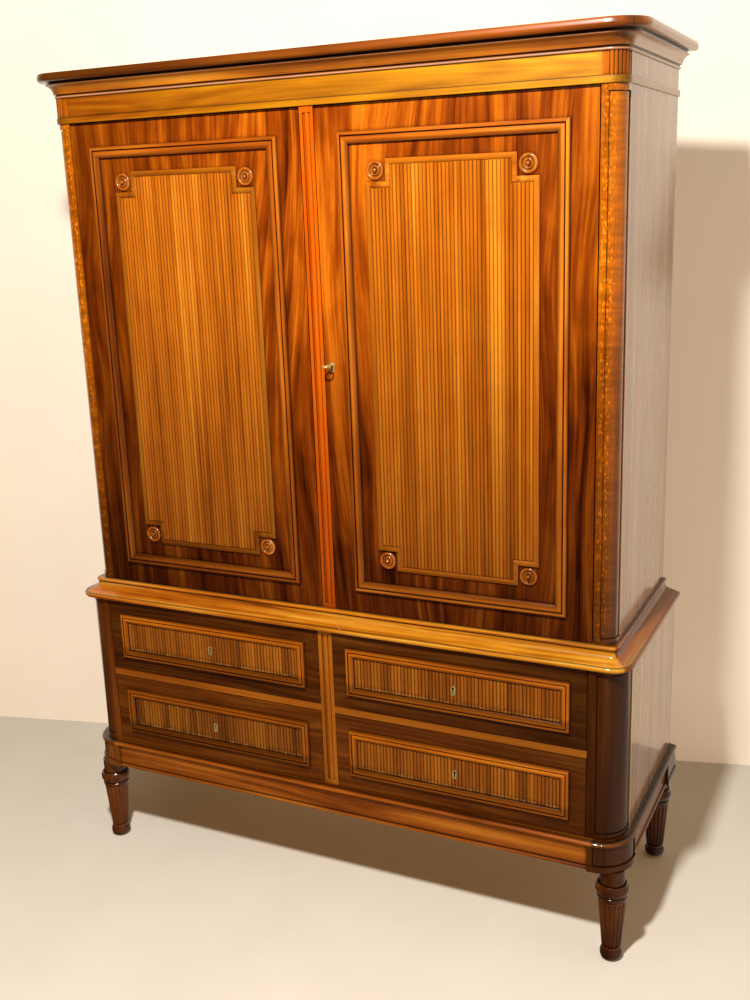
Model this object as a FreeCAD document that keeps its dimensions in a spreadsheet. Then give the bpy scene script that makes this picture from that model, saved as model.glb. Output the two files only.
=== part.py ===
"""Linen press: a two-door cupboard on a base with four drawers, on a plinth with turned legs.

The origin is on the floor at the centre of the outline. +X runs to the viewer's right, +Y to the back, +Z up.
"""
import FreeCAD, Part
import math
import os
import re
import Sketcher

doc = FreeCAD.newDocument("linen_press")

# Driving dimensions in millimetres
SIZES = {
    # Storeys, from the floor up
    "leg_height": 230,
    "plinth_height": 63,
    "plinth_moulding_height": 10,
    "base_height": 401,
    "base_top_thickness": 12,
    "waist_rise": 32,
    "door_opening_height": 1126,
    "fillet_height": 14,
    "frieze_height": 43,
    "cornice_height": 54,
    # Outlines
    "overall_depth": 530,
    "upper_width": 1360,
    "base_overhang": 31,
    "plinth_overhang": 17,
    "corner_gap": 1,
    # Boards
    "side_thickness": 22,
    "back_thickness": 12,
    "upper_floor_thickness": 24,
    "upper_top_thickness": 22,
    "upper_top_rise": 9,
    "dust_board_thickness": 12,
    "shelf_thickness": 20,
    "shelf_setback": 48,
    "cleat_width": 20,
    "cleat_height": 22,
    # Legs
    "foot_radius": 25,
    "foot_base_radius": 17,
    "foot_height": 28,
    "ankle_radius": 21,
    "shaft_radius": 31.5,
    "neck_height": 35,
    "flute_count": 16,
    "flute_depth": 3.4,
    "flute_margin": 5,
    "leg_bead_radius": 34,
    "leg_bead_height": 12,
    "collar_radius": 38,
    "collar_height": 28,
    "collar_bevel": 6,
    "neck_radius": 29,
    "tenon_radius": 15,
    "tenon_length": 38,
    "tenon_clearance": 0.1,
    "leg_inset": 38,
    # Plinth
    "block_size": 88,
    "block_recess": 2,
    "block_foot_height": 14,
    "block_foot_reach": 2,
    "rail_recess": 9,
    "rail_thickness": 24,
    "rail_bead": 9,
    "plinth_moulding_shelf": 40,
    "plinth_moulding_nose": 4,
    # Corner posts
    "base_post_width": 79,
    "base_strip": 19,
    "upper_post_width": 46,
    "upper_strip": 14,
    "sunk_depth": 2,
    "sunk_stop": 13,
    "quirk_width": 2.5,
    "quirk_depth": 4,
    "side_groove_width": 10,
    "side_groove_depth": 7,
    # Mullions
    "door_mullion_width": 33,
    "door_mullion_rebate": 11.5,
    "door_mullion_backing": 18,
    "base_mullion_width": 37,
    "base_mullion_thickness": 24,
    "mullion_sink_width": 19,
    "mullion_sink_depth": 4,
    "mullion_bead_width": 13,
    "partition_thickness": 22,
    # Waist moulding
    "waist_drop": 13,
    "waist_bead_height": 9,
    "waist_bead_reach": 6,
    "waist_cove_height": 14,
    "waist_cove_reach": 5,
    "waist_nose_height": 12,
    "waist_nose_reach": 14,
    # Frieze, fillet and cornice
    "fillet_reach": 4,
    "frieze_reed_count": 6,
    "frieze_reed_radius": 4.1,
    "cornice_reach": 41,
    "cornice_bead": 7,
    "cornice_quirk": 2,
    "cornice_cove_reach": 16,
    "cornice_cove_height": 20,
    "cornice_lip": 2,
    "cornice_recess_height": 5,
    "cornice_recess_depth": 5,
    "cornice_nose_round": 8,
    "cornice_inset": 24,
    # Doors
    "door_thickness": 24,
    "hinge_gap": 2.5,
    "meeting_gap": 2,
    "door_clearance": 1.5,
    "door_stop_gap": 0.3,
    "door_margin_side": 55,
    "door_margin_top": 55,
    "door_margin_bottom": 53,
    "door_moulding_width": 25,
    "door_moulding_height": 10,
    "door_panel_margin": 37,
    "door_panel_end_margin": 33,
    "panel_notch": 46,
    "panel_bead_width": 12,
    "panel_bead_height": 6,
    "door_reed_count": 42,
    "reed_backing": 2,
    "reed_height": 2.6,
    "reed_quirk": 0.4,
    "reed_tip": 3,
    "patera_radius": 20,
    "patera_height": 9,
    # Pivot hinges
    "pivot_inset": 5,
    "pivot_leaf_length": 50,
    "pivot_leaf_width": 8,
    "pivot_leaf_thickness": 3,
    "pivot_pin_radius": 2,
    "pivot_pin_clearance": 0.05,
    # Door lock and key
    "key_from_edge": 18,
    "key_rise": 15,
    "lock_width": 56,
    "lock_height": 66,
    "lock_thickness": 12,
    "lock_wall": 1.5,
    "lock_bolt_height": 12,
    "lock_bolt_thickness": 5,
    "lock_bolt_rise": 14,
    "lock_bolt_throw": 11,
    "lock_bolt_setback": 1,
    "bolt_clearance": 0.3,
    "key_shank_radius": 3,
    "key_clearance": 0.3,
    "key_shank_reach": 18,
    "key_bow_radius": 9.5,
    "key_wire_radius": 2,
    "key_collar_radius": 4.5,
    "key_collar_length": 3,
    "key_bit_radius": 10,
    "key_bit_length": 7,
    "key_bit_thickness": 3,
    "keyhole_lining_wall": 3,
    "keyhole_slot_width": 3.4,
    "keyhole_slot_drop": 13,
    "keyhole_lining_proud": 0.8,
    "keyhole_lining_gap": 0.5,
    # Left door bolts
    "door_bolt_from_edge": 42,
    "door_bolt_width": 12,
    "door_bolt_thickness": 6,
    "door_bolt_length": 150,
    "door_bolt_throw": 11,
    "door_bolt_setback": 0.5,
    "door_bolt_knob_radius": 4,
    "door_bolt_knob_reach": 8,
    "door_bolt_knob_drop": 115,
    "keeper_width": 32,
    "keeper_height": 66,
    "keeper_thickness": 2,
    "keeper_edge": 6,
    # Drawers
    "drawer_rail_height": 17,
    "drawer_gap": 1.5,
    "drawer_front_thickness": 22,
    "drawer_back_gap": 39,
    "drawer_side_thickness": 12,
    "drawer_side_drop": 42,
    "drawer_bottom_thickness": 8,
    "drawer_bottom_rise": 10,
    "drawer_run_gap": 0.3,
    "drawer_side_gap": 1,
    "drawer_margin": 36,
    "drawer_moulding_width": 20,
    "drawer_moulding_height": 10,
    "drawer_reed_count": 58,
    "runner_width": 60,
    "guide_height": 20,
    "drawer_key_rise": 2,
    "drawer_lock_width": 60,
    "drawer_lock_drop": 22,
    "drawer_lock_thickness": 11,
    "drawer_bolt_width": 24,
    "drawer_bolt_thickness": 6,
    "drawer_bolt_length": 70,
    "drawer_bolt_throw": 9,
    "drawer_bolt_setback": 0.5,
    "mortise_clearance": 1,
}

sheet = doc.addObject("Spreadsheet::Sheet", "Sizes")
for row, (alias, size) in enumerate(SIZES.items(), start=1):
    sheet.set(f"A{row}", alias)
    sheet.set(f"B{row}", str(size))
    sheet.setAlias(f"B{row}", alias)
doc.recompute()


# Expressions on the sheet

def sized(text):
    """Turns the size names in a text into references to the sheet's cells."""
    return re.sub(r"[a-z_]+", lambda found: f"Sizes.{found[0]}" if found[0] in SIZES else found[0], text)


def value(text):
    """The number that an expression on the sheet gives."""
    return float(sheet.evalExpression(sized(text).replace("Sizes.", "")))


def bind(thing, **properties):
    """Binds properties of a document object to expressions on the sheet."""
    for name, text in properties.items():
        thing.setExpression(name, sized(text))


def place(thing, x="0", y="0", z="0"):
    """Binds the place of a document object to expressions on the sheet."""
    for axis, text in (("x", x), ("y", y), ("z", z)):
        thing.setExpression(f"Placement.Base.{axis}", sized(text))


def span(side, near, far):
    """The X limits, on one side, of what lies between two distances from the centre line."""
    if side == "right":
        return near, far
    return f"-({far})", f"-({near})"


# Levels, planes and half widths that several pieces share
floor_level = "leg_height + plinth_height"
base_level = f"({floor_level} + plinth_moulding_height)"
base_top_level = f"({base_level} + base_height)"
upper_level = f"({base_top_level} + base_top_thickness)"
door_level = f"({upper_level} + waist_rise)"
head_level = f"({door_level} + door_opening_height)"
frieze_level = f"({head_level} + fillet_height)"
cornice_level = f"({frieze_level} + frieze_height)"
top_level = f"({cornice_level} + cornice_height)"

upper_half = "(upper_width / 2)"
base_half = f"({upper_half} + base_overhang)"
plinth_half = f"({base_half} + plinth_overhang)"
back = "(overall_depth / 2)"
plinth_front = "(-overall_depth / 2)"
base_front = f"({plinth_front} + plinth_overhang)"
upper_front = f"({base_front} + base_overhang)"
back_panel = f"({back} - back_thickness)"

base_radius = "(base_post_width - base_strip)"
upper_radius = "(upper_post_width - upper_strip)"
base_post_back = f"({base_front} + {base_radius} + side_groove_width)"
upper_post_back = f"({upper_front} + {upper_radius} + side_groove_width)"
door_back = f"({upper_front} + door_thickness)"

nodes = []


def node(label, thing):
    """Names a finished sub-part."""
    thing.Label = label
    nodes.append(thing)
    return thing


# Ways of making pieces

def board(name, x, y, z):
    """A squared board between two limits on each axis."""
    box = doc.addObject("Part::Box", name)
    bind(box, Length=f"{x[1]} - ({x[0]})", Width=f"{y[1]} - ({y[0]})", Height=f"{z[1]} - ({z[0]})")
    place(box, x[0], y[0], z[0])
    return box


def rod(name, radius, length, x, y, z, along="Z"):
    """A round bar that starts at a point and runs along an axis."""
    bar = doc.addObject("Part::Cylinder", name)
    bind(bar, Radius=radius, Height=length)
    directions = {"Z": (0, 0, 1), "Y": (0, 1, 0), "X": (1, 0, 0)}
    turn = FreeCAD.Rotation(FreeCAD.Vector(0, 0, 1), FreeCAD.Vector(*directions[along]))
    bar.Placement = FreeCAD.Placement(FreeCAD.Vector(), turn)
    place(bar, x, y, z)
    return bar


def group(name, members):
    """Several solids that make one sub-part or one cutter."""
    compound = doc.addObject("Part::Compound", name)
    compound.Links = members
    return compound


def fused(name, members):
    """Several overlapping shapes joined into one solid."""
    fusion = doc.addObject("Part::MultiFuse", name)
    fusion.Shapes = members
    return fusion


def cut(name, piece, cutters):
    """A piece with mortises, holes or grooves taken out of it."""
    result = doc.addObject("Part::Cut", name)
    result.Base = piece
    result.Tool = cutters[0] if len(cutters) == 1 else group(name + "_cutters", cutters)
    return result


def mirrored(name, piece):
    """The left-hand twin of a right-hand piece."""
    twin = doc.addObject("Part::Mirroring", name)
    twin.Source = piece
    twin.Normal = FreeCAD.Vector(1, 0, 0)
    return twin


def arc_between(start, end, turn):
    """The arc from start to end that turns by an angle in degrees, to the left where positive."""
    chord = end - start
    half_turn = math.radians(abs(turn)) / 2
    radius = chord.Length / 2 / math.sin(half_turn)
    to_left = FreeCAD.Vector(-chord.y, chord.x, 0).normalize()
    centre = (start + end) / 2 + to_left * math.copysign(radius * math.cos(half_turn), turn)
    first, last = (start, end) if turn > 0 else (end, start)
    angles = [math.atan2(point.y - centre.y, point.x - centre.x) for point in (first, last)]
    return Part.ArcOfCircle(Part.Circle(centre, FreeCAD.Vector(0, 0, 1), radius), *angles)


def draw(sketch, corners, closed=True):
    """Draws an outline through corners, each held by two expressions.

    A corner with a third value starts an arc that turns by that angle on its way to the next corner.
    """
    points = [FreeCAD.Vector(value(corner[0]), value(corner[1]), 0) for corner in corners]
    count = len(corners) if closed else len(corners) - 1
    starts, ends = [], []
    for index in range(count):
        start, end = points[index], points[(index + 1) % len(points)]
        if len(corners[index]) == 3:
            turn = corners[index][2]
            edge = sketch.addGeometry(arc_between(start, end, turn), False)
            sketch.addConstraint(Sketcher.Constraint("Angle", edge, math.radians(abs(turn))))
            starts.append((edge, 1 if turn > 0 else 2))
            ends.append((edge, 2 if turn > 0 else 1))
        else:
            edge = sketch.addGeometry(Part.LineSegment(start, end), False)
            starts.append((edge, 1))
            ends.append((edge, 2))
    for index in range(count if closed else count - 1):
        sketch.addConstraint(Sketcher.Constraint("Coincident", *ends[index], *starts[(index + 1) % count]))
    for index, corner in enumerate(corners):
        spot = starts[index] if index < count else ends[-1]
        for kind, text in (("DistanceX", corner[0]), ("DistanceY", corner[1])):
            held = sketch.addConstraint(Sketcher.Constraint(kind, -1, 1, *spot, value(text)))
            sketch.setExpression(f"Constraints[{held}]", sized(text))


def sketch_in(body, name, plane, offset):
    """A sketch on one of a body's own planes, moved along the plane's normal."""
    sketch = body.newObject("Sketcher::SketchObject", name)
    support = [feature for feature in body.Origin.OriginFeatures if feature.Role == plane][0]
    sketch.AttachmentSupport = [(support, "")]
    sketch.MapMode = "FlatFace"
    sketch.setExpression("AttachmentOffset.Base.z", sized(offset))
    return sketch


def profile_in(body, name, plane, limits, corners):
    """A closed outline at the plane that starts an extrusion, and the extrusion's length.

    The outline is in world coordinates: X and Y on XY_Plane, X and Z on XZ_Plane, Y and Z on YZ_Plane.
    """
    start = f"-({limits[1]})" if plane == "XZ_Plane" else limits[0]
    sketch = sketch_in(body, name, plane, start)
    draw(sketch, corners)
    return sketch, f"{limits[1]} - ({limits[0]})"


def pad(body, name, plane, limits, corners):
    """Adds an extruded outline to a body."""
    feature = body.newObject("PartDesign::Pad", name)
    feature.Profile, length = profile_in(body, name + "_outline", plane, limits, corners)
    bind(feature, Length=length)
    return feature


def pocket(body, name, plane, limits, corners):
    """Takes an extruded outline out of a body."""
    feature = body.newObject("PartDesign::Pocket", name)
    feature.Profile, length = profile_in(body, name + "_outline", plane, limits, corners)
    feature.Reversed = True
    bind(feature, Length=length)
    return feature


def padded(name, plane, limits, corners):
    """A body that is one extruded outline."""
    body = doc.addObject("PartDesign::Body", name)
    pad(body, name + "_pad", plane, limits, corners)
    return body


def rectangle(x, y):
    """The corners of a rectangle between two limits on each axis."""
    return [(x[0], y[0]), (x[1], y[0]), (x[1], y[1]), (x[0], y[1])]


PROFILE_PLANES = {
    "XY": FreeCAD.Rotation(),
    "XZ": FreeCAD.Rotation(FreeCAD.Vector(1, 0, 0), 90),
    "YZ": FreeCAD.Rotation(FreeCAD.Vector(0, 1, 0), FreeCAD.Vector(0, 0, 1), FreeCAD.Vector(1, 0, 0), "ZXY"),
}


def free_sketch(name, plane, corners, closed=True, **spot):
    """A sketch of its own, in world coordinates, for the path or the section of a moulding."""
    sketch = doc.addObject("Sketcher::SketchObject", name)
    sketch.Placement = FreeCAD.Placement(FreeCAD.Vector(), PROFILE_PLANES[plane])
    draw(sketch, corners, closed)
    place(sketch, **spot)
    return sketch


def moulding(name, path, section):
    """A moulding run along a path, mitred at its square corners."""
    run = doc.addObject("Part::Sweep", name)
    run.Sections = [section]
    run.Spine = (path, [f"Edge{index + 1}" for index in range(path.GeometryCount)])
    run.Solid = True
    run.Transition = "Right corner"
    return run


def surround(name, half, front, radius, level, section):
    """A moulding along both sides and the front of the case, with rounded front corners."""
    path = free_sketch(name + "_path", "XY", [
        (half, back),
        (half, f"{front} + {radius}", -90),
        (f"{half} - {radius}", front),
        (f"{radius} - {half}", front, -90),
        (f"-({half})", f"{front} + {radius}"),
        (f"-({half})", back),
    ], closed=False, z=level)
    outline = free_sketch(name + "_section", "XZ", section, y=back)
    return moulding(name, path, outline)


def rounded_board(name, half, front, radius, levels):
    """A board across the case whose two front corners are rounded."""
    return padded(name, "XY_Plane", levels, [
        (f"{radius} - {half}", front),
        (f"{half} - {radius}", front, 90),
        (half, f"{front} + {radius}"),
        (half, back),
        (f"-({half})", back),
        (f"-({half})", f"{front} + {radius}", 90),
    ])


def sinking(body, name, half, front, radius, levels, depth):
    """Sinks the round of a corner, with a quirk beside the flat strip and a groove at the side."""
    middle = f"({half} - {radius})"
    arc_level = f"({front} + {radius})"
    rear = f"({arc_level} + side_groove_width)"
    column = f"({radius} - ({depth}))"
    column_turn = math.degrees(math.acos(value(f"quirk_width / {column}")))
    return pocket(body, name, "XY_Plane", levels, [
        (middle, f"{front} - sunk_depth"),
        (middle, f"{front} + quirk_depth"),
        (f"{middle} + quirk_width", f"{front} + quirk_depth"),
        (f"{middle} + quirk_width", f"{arc_level} - sqrt({column} ^ 2 - quirk_width ^ 2)", column_turn),
        (f"{half} - ({depth})", arc_level),
        (f"{half} - side_groove_depth", arc_level),
        (f"{half} - side_groove_depth", rear),
        (f"{half} + sunk_depth", rear),
        (f"{half} + sunk_depth", f"{front} - sunk_depth"),
    ])


def sunk_column(body, name, half, front, radius, levels):
    """Sinks a column into a rounded corner and cuts a quirk round each of its ends."""
    sinking(body, name + "_sinking", half, front, radius, levels, "sunk_depth")
    ends = {
        "foot": (levels[0], f"{levels[0]} + quirk_width"),
        "head": (f"{levels[1]} - quirk_width", levels[1]),
    }
    for end, quirk in ends.items():
        sinking(body, f"{name}_{end}_quirk", half, front, radius, quirk, "sunk_depth + quirk_depth")


# Legs: turned, with a collar, a bead, sixteen flutes on the tapered shaft, and a tenon into the plinth block

FLUTE_SHARE = 0.41  # the radius of a flute over the distance between two flutes


def leg(name):
    """One turned leg, upright at the origin."""
    body = doc.addObject("PartDesign::Body", name)
    collar_top = "(leg_height - neck_height)"
    collar_level = f"({collar_top} - collar_height)"
    shaft_top = f"({collar_level} - leg_bead_height)"
    turning = sketch_in(body, name + "_turning", "XZ_Plane", "0")
    draw(turning, [
        ("0", "0"),
        ("foot_base_radius", "0", 60),
        ("foot_radius", "foot_height * 0.45", 43),
        ("ankle_radius", "foot_height"),
        ("shaft_radius", shaft_top),
        ("leg_bead_radius - leg_bead_height / 2", shaft_top, 180),
        ("leg_bead_radius - leg_bead_height / 2", collar_level),
        ("collar_radius - collar_bevel", collar_level, 93),
        ("collar_radius - collar_bevel", collar_top),
        ("neck_radius", f"{collar_top} - collar_bevel / 2"),
        ("neck_radius", "leg_height"),
        ("tenon_radius", "leg_height"),
        ("tenon_radius", "leg_height + tenon_length"),
        ("0", "leg_height + tenon_length"),
    ])
    turned = body.newObject("PartDesign::Revolution", name + "_turned")
    turned.Profile = turning
    turned.ReferenceAxis = (turning, ["V_Axis"])
    turned.Angle = 360
    flute_ends = []
    for end, level, radius in (
            ("low", "foot_height + flute_margin", "ankle_radius"),
            ("high", f"{shaft_top} - flute_margin", "shaft_radius")):
        flute = sketch_in(body, f"{name}_flute_{end}", "XY_Plane", level)
        groove_radius = f"({FLUTE_SHARE * 2 * math.pi} * {radius} / flute_count)"
        centre = FreeCAD.Vector(value(radius), 0, 0)
        circle = Part.Circle(centre, FreeCAD.Vector(0, 0, 1), value(groove_radius))
        flute.addGeometry(circle, False)
        flute.addConstraint(Sketcher.Constraint("PointOnObject", 0, 3, -1))
        reach = flute.addConstraint(Sketcher.Constraint("DistanceX", -1, 1, 0, 3, value(radius)))
        width = flute.addConstraint(Sketcher.Constraint("Radius", 0, value(groove_radius)))
        flute.setExpression(f"Constraints[{reach}]", sized(f"{radius} + {groove_radius} - flute_depth"))
        flute.setExpression(f"Constraints[{width}]", sized(groove_radius))
        flute_ends.append(flute)
    groove = body.newObject("PartDesign::SubtractiveLoft", name + "_flute")
    groove.Profile = flute_ends[0]
    groove.Sections = [flute_ends[1]]
    groove.Ruled = True
    flutes = body.newObject("PartDesign::PolarPattern", name + "_flutes")
    flutes.Originals = [groove]
    flutes.Axis = (flute_ends[0], ["N_Axis"])
    flutes.Angle = 360
    bind(flutes, Occurrences="flute_count")
    body.Tip = flutes
    return body


leg_x = f"({plinth_half} - leg_inset - block_recess)"
leg_y = {"front": f"({plinth_front} + leg_inset + block_recess)", "rear": f"({back} - leg_inset)"}
right_legs = []
for end, spot in leg_y.items():
    turned_leg = leg(f"{end}_leg")
    place(turned_leg, leg_x, spot)
    right_legs.append(turned_leg)
node("legs", group("legs", right_legs + [mirrored(piece.Name + "_left", piece) for piece in right_legs]))


# Plinth: a block over each leg, the front ones with a sunk column like the corner posts, rails between the
# blocks, and a moulded top edge that carries the base

block_radius = f"({base_radius} + plinth_overhang - block_recess)"
block_outer = f"({plinth_half} - block_recess)"
block_inner = f"({block_outer} - block_size)"
block_front = f"({plinth_front} + block_recess)"


def block_outline(end, reach):
    """The plan of a plinth block, or of its foot by a reach; the front one is rounded at its outer corner."""
    outer = f"({block_outer} + {reach})"
    if end == "rear":
        return rectangle((block_inner, outer), (f"{back} - block_size", back))
    front = f"({block_front} - {reach})"
    radius = f"({block_radius} + {reach})"
    return [
        (block_inner, front),
        (f"{outer} - {radius}", front, 90),
        (outer, f"{front} + {radius}"),
        (outer, f"{block_front} + block_size"),
        (block_inner, f"{block_front} + block_size"),
    ]


right_blocks = []
for end, spot in leg_y.items():
    block = doc.addObject("PartDesign::Body", f"{end}_block")
    foot_top = "leg_height + block_foot_height"
    pad(block, f"{end}_block_upper", "XY_Plane", (foot_top, floor_level), block_outline(end, "0"))
    foot = block_outline(end, "block_foot_reach")
    pad(block, f"{end}_block_foot", "XY_Plane", ("leg_height", foot_top), foot)
    if end == "front":
        sunk_column(block, "front_block", block_outer, block_front, block_radius, (foot_top, floor_level))
    socket = rod(f"{end}_socket", "tenon_radius + tenon_clearance", "tenon_length", leg_x, spot, "leg_height")
    right_blocks.append(cut(f"{end}_block_bored", block, [socket]))
left_blocks = [mirrored(piece.Name + "_left", piece) for piece in right_blocks]
node("plinth_blocks", group("plinth_blocks", right_blocks + left_blocks))


def rail_section(face, inward):
    """A plinth rail's section, from its bead at the bottom; inward is the sign of the way to its back."""
    rear = f"({face} {inward} rail_thickness)"
    return [
        (face, "leg_height", -180 if inward == "+" else 180),
        (face, "leg_height + rail_bead"),
        (face, floor_level),
        (rear, floor_level),
        (rear, "leg_height"),
    ]


rail_front = f"({plinth_front} + rail_recess)"
front_rail = padded("front_rail", "YZ_Plane", (f"-{block_inner}", block_inner), rail_section(rail_front, "+"))
side_rail = padded("side_rail", "XZ_Plane", (f"{block_front} + block_size", f"{back} - block_size"),
                   rail_section(f"({plinth_half} - rail_recess)", "-"))
back_rail = board("back_rail", (f"-{block_inner}", block_inner), (f"{back} - rail_thickness", back),
                  ("leg_height", floor_level))
left_rail = mirrored("side_rail_left", side_rail)
node("plinth_rails", group("plinth_rails", [front_rail, side_rail, left_rail, back_rail]))

plinth_moulding_inner = f"({base_half} - plinth_moulding_shelf)"
node("plinth_moulding", surround("plinth_moulding", base_half, base_front, base_radius, floor_level, [
    (plinth_moulding_inner, floor_level),
    (plinth_half, floor_level),
    (plinth_half, f"{floor_level} + plinth_moulding_nose", 75),
    (f"{base_half} + plinth_overhang * 0.45", f"{base_level} - plinth_moulding_nose * 0.4"),
    (f"{base_half} + plinth_overhang * 0.2", f"{base_level} - plinth_moulding_nose * 0.4"),
    (f"{base_half} + plinth_overhang * 0.2", base_level),
    (plinth_moulding_inner, base_level),
]))


# Corner posts: a flat strip, then a rounded column sunk between stops, with a groove before the side panel

def corner_post(name, half, front, strip, radius, levels, sunk_levels):
    """A right-hand corner post."""
    rear = f"{front} + {radius} + side_groove_width"
    inner = f"({half} - {radius} - {strip})"
    body = padded(name, "XY_Plane", levels, [
        (inner, front),
        (f"{half} - {radius}", front, 90),
        (half, f"{front} + {radius}"),
        (half, rear),
        (inner, rear),
    ])
    sunk_column(body, name, half, front, radius, sunk_levels)
    return body


base_post = corner_post("base_post", base_half, base_front, "base_strip", base_radius,
                        (base_level, base_top_level),
                        (f"{base_level} + sunk_stop", f"{base_top_level} - sunk_stop"))
node("base_posts", group("base_posts", [base_post, mirrored("base_post_left", base_post)]))
upper_post = corner_post("upper_post", upper_half, upper_front, "upper_strip", upper_radius,
                         (door_level, frieze_level),
                         (f"{door_level} + sunk_stop", f"{head_level} - sunk_stop"))
post_foot_radius = "(waist_bead_reach + corner_gap)"
post_inside = f"({upper_half} - upper_post_width)"
pad(upper_post, "upper_post_foot", "XY_Plane", (upper_level, door_level), [
    (post_inside, upper_front),
    (f"{upper_half} - {post_foot_radius}", upper_front, 90),
    (upper_half, f"{upper_front} + {post_foot_radius}"),
    (upper_half, upper_post_back),
    (post_inside, upper_post_back),
])
node("upper_posts", group("upper_posts", [upper_post, mirrored("upper_post_left", upper_post)]))


# Mullions: upright strips between the doors and between the drawers, each with a bead sunk between stops

def sunk_bead(body, name, front, levels):
    """Sinks a stopped panel into the front of a mullion and leaves a bead standing in it."""
    stops = (f"{levels[0]} + sunk_stop", f"{levels[1]} - sunk_stop")
    bed = f"({front} + mullion_sink_depth)"
    sink = ("-mullion_sink_width / 2", "mullion_sink_width / 2")
    sunk = (f"{front} - mullion_sink_depth", bed)
    pocket(body, name + "_sinking", "XY_Plane", stops, rectangle(sink, sunk))
    pad(body, name + "_bead", "XY_Plane", stops, [
        ("-mullion_bead_width / 2", bed, 110),
        ("mullion_bead_width / 2", bed),
        ("mullion_bead_width / 2", f"{bed} + mullion_sink_depth / 4"),
        ("-mullion_bead_width / 2", f"{bed} + mullion_sink_depth / 4"),
    ])


base_mullion_back = f"({base_front} + base_mullion_thickness)"
base_mullion = padded("base_mullion", "XY_Plane", (base_level, base_top_level), rectangle(
    ("-base_mullion_width / 2", "base_mullion_width / 2"), (base_front, base_mullion_back)))
sunk_bead(base_mullion, "base_mullion", base_front, (base_level, base_top_level))
node("base_mullion", base_mullion)

door_rebate = f"({door_back} + door_stop_gap)"
mullion_wide = "(door_mullion_width / 2 + door_mullion_rebate)"
mullion_back = f"({door_rebate} + door_mullion_backing)"
door_mullion = padded("door_mullion_blank", "XY_Plane", (door_level, head_level), [
    ("-door_mullion_width / 2", upper_front),
    ("door_mullion_width / 2", upper_front),
    ("door_mullion_width / 2", door_rebate),
    (mullion_wide, door_rebate),
    (mullion_wide, mullion_back),
    (f"-{mullion_wide}", mullion_back),
    (f"-{mullion_wide}", door_rebate),
    ("-door_mullion_width / 2", door_rebate),
])
sunk_bead(door_mullion, "door_mullion", upper_front, (door_level, head_level))


# Base case: floor and top boards, sides, back, partition, rails, runners and guides

drawer_near = "(base_mullion_width / 2)"
drawer_far = f"({base_half} - base_post_width)"
drawer_centre = f"(({drawer_near} + {drawer_far}) / 2)"
drawer_front_back = f"({base_front} + drawer_front_thickness)"
drawer_bolt_front = f"({drawer_front_back} - drawer_lock_thickness / 2 - drawer_bolt_thickness / 2)"
drawer_bolt_back = f"({drawer_bolt_front} + drawer_bolt_thickness)"
rail_level = f"({base_level} + (base_height - drawer_rail_height) / 2)"
upper_drawer_level = f"({rail_level} + drawer_rail_height)"
sides = ("left", "right")


def drawer_bolt_mortise(side, level):
    """The space above a drawer's lock that its bolt shoots into."""
    x = span(side, f"{drawer_centre} - drawer_bolt_width / 2 - mortise_clearance",
             f"{drawer_centre} + drawer_bolt_width / 2 + mortise_clearance")
    y = (f"{drawer_bolt_front} - mortise_clearance", f"{drawer_bolt_back} + mortise_clearance")
    return board(f"{side}_drawer_mortise", x, y, (level, f"{level} + drawer_bolt_throw + mortise_clearance"))


base_floor = rounded_board("base_floor", plinth_moulding_inner, f"({base_front} + plinth_moulding_shelf)",
                           f"({base_radius} - plinth_moulding_shelf + corner_gap)", (floor_level, base_level))
base_top = rounded_board("base_top", base_half, base_front, "(waist_bead_reach + base_overhang + corner_gap)",
                         (base_top_level, upper_level))
base_top = cut("base_top_mortised", base_top, [drawer_bolt_mortise(side, base_top_level) for side in sides])
node("base_boards", group("base_boards", [base_floor, base_top]))

base_inside = f"({base_half} - side_thickness)"
base_side = board("base_side", (base_inside, base_half), (base_post_back, back), (base_level, base_top_level))
node("base_sides", group("base_sides", [base_side, mirrored("base_side_left", base_side)]))
node("base_back", board("base_back", (f"-{base_inside}", base_inside), (back_panel, back),
                        (base_level, base_top_level)))
node("base_partition", board("base_partition", ("-partition_thickness / 2", "partition_thickness / 2"),
                             (base_mullion_back, back_panel), (base_level, base_top_level)))

drawer_rails = []
for side in sides:
    rail = board(f"{side}_drawer_rail", span(side, drawer_near, drawer_far), (base_front, base_mullion_back),
                 (rail_level, upper_drawer_level))
    inner_rail = board(f"{side}_drawer_rail_back", span(side, "partition_thickness / 2", drawer_far),
                       (base_mullion_back, base_post_back), (rail_level, upper_drawer_level))
    whole = fused(f"{side}_drawer_rail_whole", [rail, inner_rail])
    drawer_rails.append(cut(f"{side}_drawer_rail_mortised", whole, [drawer_bolt_mortise(side, rail_level)]))
node("drawer_rails", group("drawer_rails", drawer_rails))

guide_near = f"({drawer_near} + drawer_gap)"
guide_far = f"({drawer_far} - drawer_gap)"
runners = []
for side in sides:
    outer_runner = span(side, f"{drawer_far} - runner_width", base_inside)
    inner_runner = span(side, "partition_thickness / 2", f"{drawer_near} + runner_width")
    runner_depth = (base_post_back, back_panel)
    for label, x in (("outer", outer_runner), ("inner", inner_runner)):
        runners.append(board(f"{side}_{label}_runner", x, runner_depth, (rail_level, upper_drawer_level)))
    outer_guide = span(side, guide_far, base_inside)
    inner_guide = span(side, "partition_thickness / 2", guide_near)
    for label, level in (("lower", base_level), ("upper", upper_drawer_level)):
        heights = (level, f"{level} + guide_height")
        runners.append(board(f"{side}_{label}_outer_guide", outer_guide, runner_depth, heights))
        runners.append(board(f"{side}_{label}_inner_guide", inner_guide, runner_depth, heights))
node("drawer_runners", group("drawer_runners", runners))


# Waist moulding: a bead, a small cove, a slope and a rounded nose round the base's top, which the upper case
# stands inside

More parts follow.
